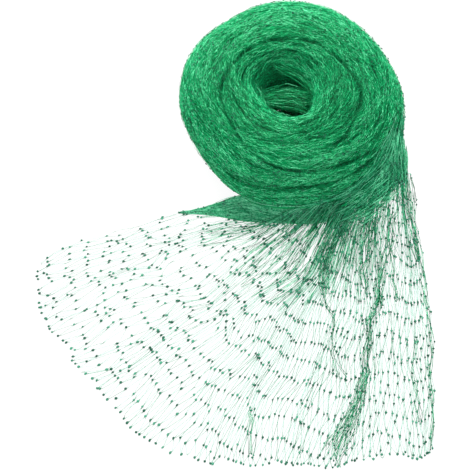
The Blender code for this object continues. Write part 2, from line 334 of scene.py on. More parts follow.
def painted_light_and_tone(angles, shares):
    """Painted light and shade of the wound surface, with random lighter and darker patches: lighter on the
    ridges and the top, darker in the creases, down in the core, on the walls and on the first turns.
    """
    turn = np.radians(angles)
    # Painted light on the ridges of the turns and painted shade in the creases
    light = RIDGE_PAINTED_LIGHT * ridges(angles, shares)
    light -= CREASE_PAINTED_SHADE * np.clip(creases(angles, shares) / DARKEST_CREASE, 0, 1)
    first, second = phases(PATCHES, angles, shares)
    light += PATCH_TONE * np.sin(first) * np.sin(second)
    # Painted shade down in the core, deepest on its shaded side
    shaded_side = 0.5 + 0.5 * np.cos(np.radians(angles - CORE_SHADE_ANGLE))
    painted_core_shade = fade(shares, -1, CORE_SHADE_END + CORE_SHADE_FURTHER * shaded_side, CORE_SHADE_SOFT)
    light -= painted_core_shade * (CORE_PAINTED_SHADE + CORE_PAINTED_SHADE_MORE * shaded_side)
    # Painted shade on the walls and the right side, painted light on the front and back of the top: how
    # strong each is round the roll
    painted_side_strength = {
        "front wall": 0.5 - 0.5 * np.sin(turn),
        "left and right walls": 0.5 + 0.5 * np.cos(2 * turn),
        "right side": np.clip(np.cos(turn), 0, 1),
        "front and back of the top": np.abs(np.sin(turn)),
    }
    for name, (start, end, soft, tone) in PAINTED_LIGHT_AND_SHADE.items():
        light += tone * (fade(shares, start, end, soft) * painted_side_strength[name])
    # Painted shade on the first turns round the core, less at the back
    return light - (INNER_PAINTED_SHADE - INNER_PAINTED_SHADE_LESS * np.sin(turn)) * fade(shares, *INNER_SHADED_TURNS)


def roll_surface(angles, shares, lift=0.0):
    """Points on the wound surface, lifted off it, and the direction straight out from it."""
    angles, shares = np.broadcast_arrays(np.asarray(angles, float), np.asarray(shares, float))
    shape = angles.shape
    angles = angles.ravel() % 360
    shares = shares.ravel()
    section = smooth(section_places, section_curve, shares)
    out = smooth(section_places, section_out, shares)
    height = relief(angles, shares) + np.broadcast_to(lift, shape).ravel()
    outwards = np.clip((section[:, 0] - CORE_RADIUS) / (ROLL_RADIUS - CORE_RADIUS), 0, 1)
    lean = (1 - section[:, 1] / ROLL_HEIGHT) * (1 - outwards) ** 2
    swing = smooth(*np.array(WALL_SWING, float).T, angles)
    mouth = smooth(*np.array(MOUTH_SWING, float).T, angles) * fade(shares, *MOUTH, MOUTH_FADE)
    radius = section[:, 0] + height * out[:, 0] + swing * outwards + mouth
    turn = np.radians(angles)
    ring = np.stack([np.cos(turn), np.sin(turn)], axis=1)
    core, roll = np.array(CORE_CENTRE), np.array(ROLL_CENTRE)
    centre = core + (roll - core) * outwards[:, None] + np.array(CORE_LEAN) * lean[:, None]
    flat = centre + radius[:, None] * ring
    points = np.column_stack([flat, section[:, 1] + height * out[:, 1]]) + DRAWN_FROM
    normals = np.column_stack([ring * out[:, :1], out[:, 1]])
    return points.reshape(*shape, 3), normals.reshape(*shape, 3)


def new_mesh(name, points, faces, values):
    """A smooth mesh from arrays of points and of faces, with its named values at the points."""
    mesh = bpy.data.meshes.new(name)
    loops = np.concatenate([face.ravel() for face in faces])
    sizes = np.concatenate([np.full(len(face), face.shape[1]) for face in faces])
    mesh.vertices.add(len(points))
    mesh.vertices.foreach_set("co", points.astype(np.float32).ravel())
    mesh.loops.add(len(loops))
    mesh.loops.foreach_set("vertex_index", loops.astype(np.int32))
    mesh.polygons.add(len(sizes))
    mesh.polygons.foreach_set("loop_start", np.concatenate([[0], np.cumsum(sizes)[:-1]]).astype(np.int32))
    mesh.polygons.foreach_set("use_smooth", np.ones(len(sizes), bool))
    mesh.update(calc_edges=True)
    mesh.validate()
    for key, value in values.items():
        kind, field = ("FLOAT", "value") if value.ndim == 1 else ("FLOAT_VECTOR", "vector")
        attribute = mesh.attributes.new(key, kind, "POINT")
        attribute.data.foreach_set(field, value.astype(np.float32).ravel())
    return mesh


def new_piece(name, mesh, material):
    """A piece of the part, which goes wherever the part goes."""
    mesh.materials.append(material)
    piece = bpy.data.objects.new(name, mesh)
    scene.collection.objects.link(piece)
    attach(piece, "root")
    return piece


NODE_SPACING = 200


def new_material(name, roughness, specular):
    """A material with its node tree and its shader."""
    material = bpy.data.materials.new(name)
    material.use_nodes = True
    shader = material.node_tree.nodes["Principled BSDF"]
    set_inputs(shader, {"Roughness": roughness, "Specular IOR Level": specular})
    return material, material.node_tree, shader


def set_inputs(made, values):
    """Give the inputs of a shader node their values, by name."""
    for key, value in values.items():
        made.inputs[key].default_value = value


def node(tree, kind, place, inputs=None, **settings):
    """A shader node at a place in its tree, in columns and rows, with its inputs and settings."""
    made = tree.nodes.new(kind)
    made.location = (place[0] * NODE_SPACING, place[1] * NODE_SPACING)
    for key, value in settings.items():
        setattr(made, key, value)
    set_inputs(made, inputs or {})
    return made


def wire(tree, *links):
    """Lead the outputs of nodes into inputs of others, given in pairs."""
    for source, target in links:
        tree.links.new(source, target)


def sheet_faces(grid):
    """The four-sided faces between the rows and columns of a grid of points."""
    faces = np.stack([grid[:-1, :-1], grid[:-1, 1:], grid[1:, 1:], grid[1:, :-1]], axis=-1)
    return faces.reshape(-1, 4)


ROLL_STEPS = 240
ROLL_SECTION_STEPS = 190
BODY_DARK = (0.0008, 0.080, 0.027)
BODY_LIGHT = (0.004, 0.360, 0.110)
BODY_ROUGHNESS = 0.6
BODY_SPECULAR = 0.05
# How far the body's surface lies under the threads
BODY_SINK = 0.0006
# How close together the streaks of the layers lie, round the roll and along the section
BODY_STREAKS = (6, 260)


def packed_layers():
    """Net layers seen end on: fine streaks along the winding, lighter or darker by a value at the points,
    which on the roll is its painted light and shade: darker in the creases and down in the core, lighter on
    the ridges and the top.
    """
    material, tree, shader = new_material("packed net layers", BODY_ROUGHNESS, BODY_SPECULAR)
    along = node(tree, "ShaderNodeAttribute", (-5, 1), attribute_name="winding")
    light = node(tree, "ShaderNodeAttribute", (-5, -1), attribute_name="painted_light_and_tone")
    streaks = node(tree, "ShaderNodeTexNoise", (-4, 1), {"Scale": 1.0, "Detail": 4, "Roughness": 0.65})
    contrast = node(tree, "ShaderNodeMapRange", (-3, 1), {"From Min": 0.32, "From Max": 0.68})
    shade = node(tree, "ShaderNodeMath", (-2, 0), operation="ADD", use_clamp=True)
    ends = {"A": (*BODY_DARK, 1), "B": (*BODY_LIGHT, 1)}
    blend = node(tree, "ShaderNodeMix", (-1, 1), ends, data_type="RGBA")
    lumps = node(tree, "ShaderNodeBump", (-1, -1), {"Strength": 0.5, "Distance": 0.0008})
    wire(
        tree,
        (along.outputs["Vector"], streaks.inputs["Vector"]),
        (streaks.outputs["Fac"], contrast.inputs["Value"]),
        (contrast.outputs["Result"], shade.inputs[0]),
        (light.outputs["Fac"], shade.inputs[1]),
        (shade.outputs["Value"], blend.inputs["Factor"]),
        (blend.outputs["Result"], shader.inputs["Base Color"]),
        (streaks.outputs["Fac"], lumps.inputs["Height"]),
        (lumps.outputs["Normal"], shader.inputs["Normal"]),
    )
    return material


# The body's colour takes the painted light and shade: lighter on the ridges and the top, darker in the
# creases, down the core and on the walls
angles = np.arange(ROLL_STEPS)[:, None] * 360 / ROLL_STEPS
shares = np.linspace(0, 1, ROLL_SECTION_STEPS + 1)[None, :]
points, _outs = roll_surface(angles, shares, -BODY_SINK)
grid = np.arange(ROLL_STEPS * (ROLL_SECTION_STEPS + 1)).reshape(ROLL_STEPS, ROLL_SECTION_STEPS + 1)
around = np.concatenate([grid, grid[:1]])
base = sheet_faces(around[:, [-1, 0]])
turn = np.radians(angles + 0 * shares)
round_roll, along_section = BODY_STREAKS
streaks = (round_roll * np.cos(turn), round_roll * np.sin(turn), along_section * shares + 0 * turn)
winding = np.stack(streaks, axis=-1)
body_mesh = new_mesh(
    "roll_body",
    points.reshape(-1, 3),
    [sheet_faces(around), base],
    {"winding": winding.reshape(-1, 3), "painted_light_and_tone": painted_light_and_tone(angles, shares).ravel()},
)
net_layers = packed_layers()
roll_body = new_piece("roll_body", body_mesh, net_layers)
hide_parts("wound_roll")


# ------------------------------------------------------------
# The threads of the outer layers: thin green twine that runs round the roll with the winding, from knot to
# knot in slack zigzags. They cover the roll all over, and a few stand off it as a light fringe.
# ------------------------------------------------------------

BAR_LENGTH = 0.0045
# The chains of threads lie in layers over each other. The last is the fringe that stands off the outer wall.
CHAIN_LAYERS = (
    # name, seed, chains, bars in each, places along the section, thread radius, lift, lightness, share of its
    # knots shown
    ("roll_threads", 11, 5200, 6, (0.10, 0.93), 0.00027, (-0.0002, 0.0006), 0.00, 0.003),
    ("roll_outer_threads", 12, 5200, 6, (0.16, 0.93), 0.00023, (0.0002, 0.0011), 0.03, 0.003),
    ("roll_slack_threads", 19, 3400, 3, (0.20, 0.93), 0.00018, (0.0007, 0.0013), 0.14, 0.00),
    ("roll_fringe", 13, 1000, 6, (0.50, 0.86), 0.00013, (0.0008, 0.0030), 0.05, 0.17),
)
# How far a thread swings to either side, how much of that the least slack one has, and where all of them end
ZIGZAG = 0.0016
LEAST_ZIGZAG = 0.3
THREADED = (0.02, 0.97)
# Towards the core fewer threads are needed: the least share of them, and the radius under which their bars
# turn no further round it
LEAST_THREADS = 0.2
LEAST_REACH = 0.012
# Where a layer has slipped its threads slant across the winding: waves round the roll and along the section
SLANTS = ((0.15, 3, 5), (0.13, 7, -11), (0.10, 13, 19))
SLANT_VARIES = 0.26
# Every length of twine is dark, middling or light, one beside the other. The light lengths are painted
# highlights that stand in for glints on the twine, and the dark ones are partly painted shade between the
# strands
DARK_PLAIN_GLINT_TONES = (0.10, 0.45, 0.88)
TONE_SHARES = (0.38, 0.40, 0.22)
TONE_VARIES = 0.08
TWINE_DARK = (0.0008, 0.125, 0.040)
TWINE_MIDDLE = (0.0050, 0.465, 0.157)
TWINE_GLINT = (0.1900, 0.890, 0.490)
WOUND_ROUGHNESS = 0.4
TWINE_SPECULAR = 0.13
# Light and dark flecks along the twine, partly its own uneven tone and partly painted highlight and shade:
# how many to a metre, how strong
FLECKS = 560
FLECK_TONE = 0.21
TWINE_SIDES = 3
# How thin a thread is at its two ends, as a share of its radius
TAPER = 0.25
# The shortest length that still has a direction
LEAST_LENGTH = 1e-9


def twine(name, dark, middle, light, roughness):
    """Thin plastic twine, each length a little lighter or darker than the next, with flecks of painted
    highlight and shade and a soft gloss.
    """
    material, tree, shader = new_material(name, roughness, TWINE_SPECULAR)
    place = node(tree, "ShaderNodeTexCoord", (-6, -1))
    flecks = node(tree, "ShaderNodeTexNoise", (-5, -1), {"Scale": FLECKS, "Detail": 1})
    span = {"From Min": 0.33, "From Max": 0.67, "To Min": -FLECK_TONE, "To Max": FLECK_TONE}
    strong = node(tree, "ShaderNodeMapRange", (-4, -1), span)
    tone = node(tree, "ShaderNodeAttribute", (-4, 1), attribute_name="tone")
    flecked = node(tree, "ShaderNodeMath", (-3, 0), operation="ADD", use_clamp=True)
    ramp = node(tree, "ShaderNodeValToRGB", (-2, 0))
    stops = ramp.color_ramp.elements
    stops[0].color = (*dark, 1)
    stops[1].color = (*light, 1)
    stops.new(0.5).color = (*middle, 1)
    wire(
        tree,
        (place.outputs["Object"], flecks.inputs["Vector"]),
        (flecks.outputs["Fac"], strong.inputs["Value"]),
        (tone.outputs["Fac"], flecked.inputs[0]),
        (strong.outputs["Result"], flecked.inputs[1]),
        (flecked.outputs["Value"], ramp.inputs["Fac"]),
        (ramp.outputs["Color"], shader.inputs["Base Color"]),
    )
    return material


def unit(vectors):
    """The same directions with length 1."""
    return vectors / np.maximum(np.linalg.norm(vectors, axis=-1, keepdims=True), LEAST_LENGTH)


def around_rings(index):
    """The faces of closed thin tubes, from the numbers of their points by tube, ring and side."""
    here, ahead = index[:, :-1], index[:, 1:]
    walls = np.stack([here, np.roll(here, -1, axis=2), np.roll(ahead, -1, axis=2), ahead], axis=-1)
    return [walls.reshape(-1, 4), index[:, 0, ::-1], index[:, -1]]


def tubes(paths, normals, radii, tones):
    """Points, faces and tones of closed thin tubes, one along each path."""
    count, steps = paths.shape[:2]
    heading = unit(np.gradient(paths, axis=1))
    across = unit(np.cross(heading, normals))
    upright = np.cross(across, heading)
    turn = math.tau * np.arange(TWINE_SIDES) / TWINE_SIDES
    ring = across[:, :, None] * np.sin(turn)[:, None] + upright[:, :, None] * np.cos(turn)[:, None]
    points = paths[:, :, None] + ring * np.broadcast_to(radii, (count, steps))[:, :, None, None]
    index = np.arange(count * steps * TWINE_SIDES).reshape(count, steps, TWINE_SIDES)
    return points.reshape(-1, 3), around_rings(index), np.repeat(tones.ravel(), TWINE_SIDES)


def tapered(steps, radius, count):
    """Radii that shrink to a point at the two ends of each path."""
    radii = np.full((count, steps), radius)
    radii[:, 0] = radii[:, -1] = radius * TAPER
    return radii


# The rings of a knot: how far along it each lies, and its width, as shares of the knot's length and width
KNOT_SHAPE = ((-0.50, 0.20), (-0.25, 0.90), (0.15, 1.00), (0.50, 0.18))
KNOT_ROUGHNESS = 0.5
KNOT_DARK = (0.0120, 0.075, 0.045)
KNOT_MIDDLE = (0.0300, 0.170, 0.100)
KNOT_LIGHT = (0.0700, 0.320, 0.200)
# A direction that no knot points in, from which its sides are counted
KNOT_TOP = (0.3, 0.2, 1.0)


def beads(centres, headings, lengths, widths, tones, sides):
    """Points, faces and tones of closed small knots, longest along their heading."""
    count, rings = len(centres), len(KNOT_SHAPE)
    side = unit(np.cross(headings, KNOT_TOP))
    upright = np.cross(side, headings)
    turn = math.tau * np.arange(sides) / sides
    ring = side[:, None] * np.cos(turn)[:, None] + upright[:, None] * np.sin(turn)[:, None]
    along = np.array(KNOT_SHAPE)
    points = centres[:, None, None] + (
        headings[:, None, None] * (along[:, 0] * lengths[:, None])[:, :, None, None]
        + ring[:, None] * (along[:, 1] * widths[:, None] / 2)[:, :, None, None]
    )
    index = np.arange(count * rings * sides).reshape(count, rings, sides)
    return points.reshape(-1, 3), around_rings(index), np.repeat(tones, rings * sides)


def between(values, steps):
    """Values that go straight from each knot of a chain to the next, at every step along it."""
    at = np.linspace(0, values.shape[1] - 1, steps)
    low = np.minimum(at.astype(int), values.shape[1] - 2)
    part = at - low
    return values[:, low] * (1 - part) + values[:, low + 1] * part


def slant(angles, shares):
    """How steeply the threads run across the winding, as a slope."""
    turn = np.radians(angles)
    return sum(size * np.sin(around * turn + math.tau * up * shares) for size, around, up in SLANTS)


def joined(layers):
    """The arrays of all the layers together."""
    return [np.concatenate(parts) for parts in zip(*layers)]


def twine_piece(name, shape, material):
    """A piece of the part made of twine, from its points, faces and tones."""
    points, faces, tones = shape
    return new_piece(name, new_mesh(name, points, faces, {"tone": tones}), material)


# The few knots that show on the roll: their least and greatest length, their width as a share of it, how many
# sides they have and how light they are
ROLL_KNOT_SEED = 14
ROLL_KNOT_LENGTHS = (0.0014, 0.0024)
ROLL_KNOT_WIDTH = 0.6
ROLL_KNOT_SIDES = 3
ROLL_KNOT_TONES = (0, 0.6)

roll_twine = twine("wound green twine", TWINE_DARK, TWINE_MIDDLE, TWINE_GLINT, WOUND_ROUGHNESS)
knot_twine = twine("knotted green twine", KNOT_DARK, KNOT_MIDDLE, KNOT_LIGHT, KNOT_ROUGHNESS)
roll_knots = []
for name, seed, chains, chain_bars, places, radius, lifts, light, knots_kept in CHAIN_LAYERS:
    random = np.random.default_rng(seed)
    start_share = random.uniform(*places, chains * 2)
    reach = smooth(section_places, section_curve, start_share)[:, 0]
    needed = np.clip(reach / ROLL_RADIUS, LEAST_THREADS, 1)
    kept = np.nonzero(random.uniform(0, 1, chains * 2) < needed)[0][:chains]
    reach = reach[kept]
    count = len(kept)
    bar_angle = np.degrees(BAR_LENGTH / np.maximum(reach, LEAST_REACH))
    knot_angles = random.uniform(0, 360, count)[:, None] + bar_angle[:, None] * np.arange(chain_bars + 1)
    knot_shares = np.repeat(start_share[kept][:, None], chain_bars + 1, axis=1)
    zigzag = ZIGZAG * random.choice((-1, 1), count) * random.uniform(LEAST_ZIGZAG, 1, count)
    for bar in range(chain_bars):
        slope = slant(knot_angles[:, bar], knot_shares[:, bar]) + random.normal(0, SLANT_VARIES, count)
        zigzag = -zigzag
        knot_shares[:, bar + 1] = knot_shares[:, bar] + (slope * BAR_LENGTH + zigzag) / section_length
    knot_shares = np.clip(knot_shares, *THREADED)
    knot_tones = random.choice(DARK_PLAIN_GLINT_TONES, knot_shares.shape, p=TONE_SHARES)
    knot_tones = knot_tones + random.normal(light, TONE_VARIES, knot_shares.shape)
    # The threads take the same painted light and shade as the body under them
    knot_tones = np.clip(knot_tones + painted_light_and_tone(knot_angles % 360, knot_shares), 0, 1)
    paths, outs = roll_surface(knot_angles, knot_shares, random.uniform(*lifts, knot_shares.shape))
    threads = tubes(paths, outs, tapered(chain_bars + 1, radius, count), knot_tones)
    twine_piece(name, threads, roll_twine)
    ahead = unit(np.gradient(paths, axis=1))
    chosen = random.uniform(0, 1, knot_shares.shape) < knots_kept
    roll_knots.append((paths[chosen] + outs[chosen] * radius, ahead[chosen]))
centres, headings = joined(roll_knots)
random = np.random.default_rng(ROLL_KNOT_SEED)
lengths = random.uniform(*ROLL_KNOT_LENGTHS, len(centres))
widths = lengths * ROLL_KNOT_WIDTH
knot_tones = random.uniform(*ROLL_KNOT_TONES, len(centres))
knots = beads(centres, headings, lengths, widths, knot_tones, ROLL_KNOT_SIDES)
twine_piece("roll_knots", knots, knot_twine)


# ------------------------------------------------------------
# The fold in the core: the first few layers of the net, which have slipped down inside the mouth. A fold of
# them crosses the core from left to right, one turn sags on its right side, and the lowest nearly close it.
# ------------------------------------------------------------

CORE_GROUPS = (
    # name, seed, threads, angles and places along the section of their first ends, and of their last ends,
    # how far they sag, how far they bend to the back, how far to the right, tones, which are dark in the
    # lowest turns as painted shade deep in the core
    ("fold", 15, 100, (172, 205), (0.262, 0.305), (12, -50), (0.250, 0.315), (-0.002, 0.010), (-0.002, 0.014),
     (0.000, 0.003), (0.05, 0.35, 0.75)),
    ("slipped turn", 16, 130, (70, 118), (0.300, 0.350), (34, -14), (0.265, 0.330), (0.000, 0.010),
     (0.004, 0.011), (0.004, 0.011), (0.05, 0.30, 0.60)),
    ("mouth edge", 18, 70, (150, 262), (0.285, 0.345), (190, 305), (0.285, 0.345), (0.000, 0.005),
     (-0.001, 0.004), (-0.001, 0.003), (0.05, 0.40, 0.85)),
    ("lowest turns", 17, 480, (85, 275), (0.040, 0.120), (50, -100), (0.040, 0.110), (0.000, 0.002),
     (-0.003, 0.003), (0.000, 0.000), (0.00, 0.05, 0.20)),
)
CORE_TONE_SHARES = (0.40, 0.40, 0.20)
CORE_STEPS = 7
CORE_TWINE_RADIUS = 0.00028
# How far a thread wobbles, and between how many places along it
CORE_WOBBLE = 0.0008
CORE_WOBBLES = 5
UPWARD = (0.0, 0.0, 1.0)

core = []
for _name, seed, count, *ends, sags, backs, rights, group_tones in CORE_GROUPS:
    random = np.random.default_rng(seed)
    order = random.uniform(0, 1, count)
    first_angles, first_shares, last_angles, last_shares = ends
    first_ends, last_ends = (
        roll_surface(angles[0] + (angles[1] - angles[0]) * order, random.uniform(*shares, count))[0]
        for angles, shares in ((first_angles, first_shares), (last_angles, last_shares))
    )
    part = np.linspace(0, 1, CORE_STEPS)[None, :, None]
    paths = first_ends[:, None] * (1 - part) + last_ends[:, None] * part
    hang = np.sin(math.pi * part[..., 0])
    for axis, shifts, way in ((0, rights, 1), (1, backs, 1), (2, sags, -1)):
        paths[..., axis] += way * random.uniform(*shifts, count)[:, None] * hang
        paths[..., axis] += between(random.normal(0, CORE_WOBBLE, (count, CORE_WOBBLES)), CORE_STEPS) * hang
    core.append((paths, random.choice(group_tones, (count, CORE_STEPS), p=CORE_TONE_SHARES)))
paths, tones = joined(core)
radii = tapered(CORE_STEPS, CORE_TWINE_RADIUS, len(paths))
threads = tubes(paths, np.broadcast_to(UPWARD, paths.shape), radii, tones)
twine_piece("core_fold", threads, roll_twine)


# ------------------------------------------------------------
# The loose end: the same net, pulled lengthways so that its diamonds are nearly closed. It comes off the
# right side of the roll, slopes down to the floor and fans out in front and to the left. Its right part is
# doubled and slack, and its knots lie in wavy rows, drawn together where the twine has caught.
# ------------------------------------------------------------

NET_MESHES = 97
NET_ROWS = 15
NET_LENGTH = 0.30
# Where the strands of the loose end run, from the right edge to the left: how many meshes each lies from the
# right edge, then the x, y and height of its underside from the roll's wall to the outer edge, with no height
# where it is on the floor
STRANDS = (
    (0, ((0.166, 0.058, 0.061), (0.168, 0.042, 0.054), (0.172, 0.021, 0.041), (0.177, 0.000, 0.023),
         (0.186, -0.038), (0.190, -0.070), (0.189, -0.122), (0.186, -0.172), (0.181, -0.221))),
    (4, ((0.163, 0.054, 0.059), (0.164, 0.041, 0.053), (0.165, 0.020, 0.040), (0.169, -0.002, 0.022),
         (0.176, -0.034, 0.002), (0.176, -0.070), (0.174, -0.122), (0.170, -0.175), (0.167, -0.228))),
    (8, ((0.158, 0.055, 0.059), (0.159, 0.040, 0.052), (0.159, 0.018, 0.040), (0.162, -0.005, 0.022),
         (0.165, -0.029, 0.004), (0.163, -0.067), (0.157, -0.123), (0.152, -0.176), (0.150, -0.228))),
    (13, ((0.149, 0.053, 0.058), (0.147, 0.035, 0.050), (0.144, 0.015, 0.036), (0.143, -0.009, 0.018),
          (0.146, -0.032, 0.004), (0.142, -0.069), (0.135, -0.125), (0.128, -0.178), (0.118, -0.229))),
    (16, ((0.144, 0.046, 0.054), (0.143, 0.033, 0.048), (0.138, 0.014, 0.033), (0.136, -0.009, 0.016),
          (0.136, -0.033, 0.003), (0.134, -0.078), (0.124, -0.132), (0.115, -0.185), (0.100, -0.234))),
    (20, ((0.140, 0.041, 0.051), (0.138, 0.032, 0.046), (0.132, 0.012, 0.031), (0.128, -0.010, 0.014),
          (0.126, -0.034, 0.002), (0.122, -0.083), (0.107, -0.136), (0.096, -0.189), (0.079, -0.236))),
    (24, ((0.136, 0.040, 0.050), (0.133, 0.029, 0.044), (0.126, 0.010, 0.028), (0.120, -0.010, 0.012),
          (0.115, -0.035, 0.001), (0.108, -0.082), (0.090, -0.135), (0.072, -0.186), (0.059, -0.234))),
    (28, ((0.132, 0.036, 0.047), (0.121, 0.009, 0.026), (0.114, -0.010, 0.010), (0.107, -0.036),
          (0.094, -0.084), (0.076, -0.137), (0.055, -0.185), (0.041, -0.234))),
    (32, ((0.127, 0.033, 0.045), (0.116, 0.008, 0.024), (0.108, -0.011, 0.009), (0.100, -0.037),
          (0.083, -0.077), (0.064, -0.124), (0.039, -0.179), (0.024, -0.234))),
    (36, ((0.122, 0.028, 0.041), (0.112, 0.007, 0.022), (0.103, -0.012, 0.008), (0.094, -0.038),
          (0.073, -0.077), (0.051, -0.122), (0.022, -0.179), (0.005, -0.234))),
    (45, ((0.111, 0.019, 0.032), (0.102, 0.005, 0.019), (0.092, -0.014, 0.006), (0.081, -0.040),
          (0.052, -0.077), (0.027, -0.122), (-0.007, -0.174), (-0.041, -0.229))),
    (53, ((0.101, 0.013, 0.026), (0.094, 0.003, 0.016), (0.082, -0.016, 0.004), (0.070, -0.041),
          (0.027, -0.079), (-0.005, -0.123), (-0.045, -0.164), (-0.087, -0.209))),
    (60, ((0.094, 0.019, 0.029), (0.079, 0.002, 0.012), (0.066, -0.014, 0.002), (0.051, -0.037),
          (0.007, -0.070), (-0.033, -0.110), (-0.075, -0.145), (-0.117, -0.180))),
    (68, ((0.087, 0.021, 0.033), (0.072, 0.011, 0.018), (0.057, 0.000, 0.006), (0.041, -0.012),
          (0.023, -0.030), (-0.015, -0.064), (-0.058, -0.093), (-0.102, -0.122), (-0.147, -0.148))),
    (75, ((0.085, 0.026, 0.037), (0.074, 0.020, 0.028), (0.057, 0.011, 0.014), (0.040, 0.002, 0.004),
          (0.022, -0.010), (0.002, -0.025), (-0.029, -0.049), (-0.074, -0.071), (-0.120, -0.092),
          (-0.165, -0.118))),
    (83, ((0.080, 0.025, 0.036), (0.054, 0.016, 0.020), (0.035, 0.011, 0.008), (0.015, 0.005, 0.002),
          (-0.011, -0.002), (-0.055, -0.019), (-0.098, -0.041), (-0.143, -0.064), (-0.186, -0.089))),
    (90, ((0.086, 0.027, 0.025), (0.070, 0.022, 0.016), (0.050, 0.020, 0.006), (0.038, 0.020), (0.001, 0.015),
          (-0.039, 0.004), (-0.075, -0.008), (-0.114, -0.021), (-0.155, -0.036), (-0.194, -0.054))),
    (97, ((0.088, 0.030, 0.021), (0.066, 0.026, 0.012), (0.041, 0.027, 0.005), (0.013, 0.030, 0.001),
          (-0.020, 0.029), (-0.058, 0.025), (-0.095, 0.010), (-0.135, 0.001), (-0.166, -0.010),
          (-0.194, -0.033))),
)
# How far the net stays off the wall, over what length it eases back onto it, and by what share of its length
# a raised layer has come down
WALL_LIFT = 0.0030
WALL_EASE = 0.015
PEEL_END = 0.22
# The scallops of the outer edge: how many, how deep, and over what share of the length they die out
SCALLOPS = 13
SCALLOP_DEPTH = 0.0030
EDGE_STRETCH = 0.20
# Low ripples of the net: height, waves across it and along it, where along it they start and how softly
RIPPLE = 0.0010
RIPPLE_ACROSS = (12.3, 5.1)
RIPPLE_ALONG = (1.4, -2.2)
RIPPLE_START = 0.30
RIPPLE_FADE = 0.08

# What changes across the net, as meshes from the right edge and a value: how many rows further out its knots
# lie, the height of the rows' waves and the knots' random shifts along the net as shares of its length, their
# shifts across it in meshes, and the length and width of a knot
ROW_DRIFT = ((0, 2.0), (28, 2.0), (45, 0.3), (97, 0.4))
ROW_WAVE = ((0, 0.021), (20, 0.021), (28, 0.013), (40, 0.006), (66, 0.004), (97, 0.000))
ROW_SLACK = ((0, 0.0020), (24, 0.0028), (40, 0.0070), (60, 0.0080), (76, 0.0110), (97, 0.0110))
MESH_SLACK = ((0, 0.20), (60, 0.18), (76, 0.32), (97, 0.34))
KNOT_LENGTHS = ((0, 0.0024), (22, 0.0024), (36, 0.0026), (68, 0.0029), (76, 0.0028), (97, 0.0026))
KNOT_WIDTHS = ((0, 0.0025), (36, 0.0024), (68, 0.0026), (76, 0.0025), (97, 0.0024))
# The knots have worked along and across the net in patches: meshes and rows to a patch, and how far they go,
# as above
PATCH_ALONG = (6.0, 1.0)
PATCH_ACROSS = (4.0, 1.2)
WORKED_ALONG = ((0, 0.005), (24, 0.008), (45, 0.016), (97, 0.019))
WORKED_ACROSS = ((0, 0.6), (24, 0.8), (45, 1.1), (97, 1.3))
# Where the strands lie closer than this, fewer of the knots stand out, and the share that does elsewhere
CROWDED = 0.0022
KNOTS_KEPT = 0.96
# The layers of net that reach the outer edge. Their rows hang in waves.
SPREAD_LAYERS = (
    # seed, first mesh, meshes, how much wider each mesh is, mesh at the foot of a wave, meshes in a wave, how
    # far the waves shift from row to row
    (21, 0, 97, 1.0, 5, 17, 0.01),
    (22, 1, 17, 1.6, 12, 12, -0.08),
)
# Where the twine has caught and drawn the knots around it together: how many such places, within how many
# meshes and which shares of the length, how far each reaches in meshes and rows, and how much closer it draws
SNAGS = 60
SNAGGED_MESHES = 70
SNAGGED_SHARES = (0.15, 1)
SNAG_MESHES = 1.3
SNAG_ROWS = 0.35
SNAG_PULL = 0.65
# Near the roll its threads are gathered into strands: how strongly, how many meshes to a strand, how uneven,
# how far along the net, and how softly that ends
GATHER = 0.88
GATHER_MESHES = 3.3
GATHER_WANDER = 0.7
GATHER_END = 0.15
GATHER_FADE = 0.35
# The first row, how many rows of knots run back along the wall, and how many may pass the outer edge before
# they are drawn in, over a stretch of this share of the length
FIRST_ROW = -4
ROWS_BACK = 2
ROWS_PAST = 0.6
HEM_SLACK = 0.030
# How far a bar bows to the side, in meshes
BAR_SLACK = 0.20
# A bar is thickest at its two knots, where the twine is drawn together: places along it, how thick and how
# light it is there, and its least and greatest radius, as above. It is darker at the knots, partly because
# the twine is drawn together there and partly as painted shade of the knot
NET_BAR_STEPS = (0, 0.18, 0.82, 1)
NET_BAR_SHAPE = (1, 0, 0, 1)
NET_BAR_TONES = (-0.20, 0.35, 0.35, -0.20)
LEAST_RADIUS = ((0, 0.00021), (36, 0.00021), (60, 0.00017), (76, 0.00014), (97, 0.00013))
GREATEST_RADIUS = ((0, 0.00028), (36, 0.00028), (60, 0.00027), (76, 0.00023), (97, 0.00018))
NET_LIFT = 0.0003
NET_LIFT_VARIES = 0.0002
NET_DARK = (0.003, 0.110, 0.045)
NET_MIDDLE = (0.020, 0.300, 0.140)
NET_LIGHT = (0.420, 0.720, 0.600)
NET_ROUGHNESS = 0.35
NET_TONE = 0.5
NET_TONE_VARIES = 0.20
NET_TONE_SEED = 34
NET_KNOT_SEED = 35
NET_KNOT_SIDES = 5
# How far to either side of a place its heading is measured, as a share of the length, how far knots turn from
# it, and how their lengths and widths vary
KNOT_AHEAD = 0.01
KNOT_TURN = 0.25
KNOT_LENGTH_VARIES = (0.8, 1.25)
KNOT_WIDTH_VARIES = (0.75, 1.15)

crown = int(np.argmax(section_curve[:, 1]))


def on_wall(points):
    """Angles and places along the section of the roll's outer wall beside the points."""
    away = points[:, :2] - DRAWN_FROM[:2] - ROLL_CENTRE
    shares = np.interp(-points[:, 2], -section_curve[crown:, 1], section_places[crown:])
    return np.degrees(np.arctan2(away[:, 1], away[:, 0])), shares


def clear_of_wall(points):
    """The same points, moved straight out of the roll wherever they would be inside it."""
    wall, _out = roll_surface(*on_wall(points), WALL_LIFT)
    centre = DRAWN_FROM[:2] + ROLL_CENTRE
    away = points[:, :2] - centre
    reach = np.linalg.norm(away, axis=1)
    least = np.linalg.norm(wall[:, :2] - centre, axis=1)
    flat = centre + away * np.clip(least / reach, 1, None)[:, None]
    return np.column_stack([flat, points[:, 2]])


def route(stations):
    """The stations of a route, each with its height. Those that give none are on the floor."""
    return np.array([(*station, 0.0)[:3] for station in stations])


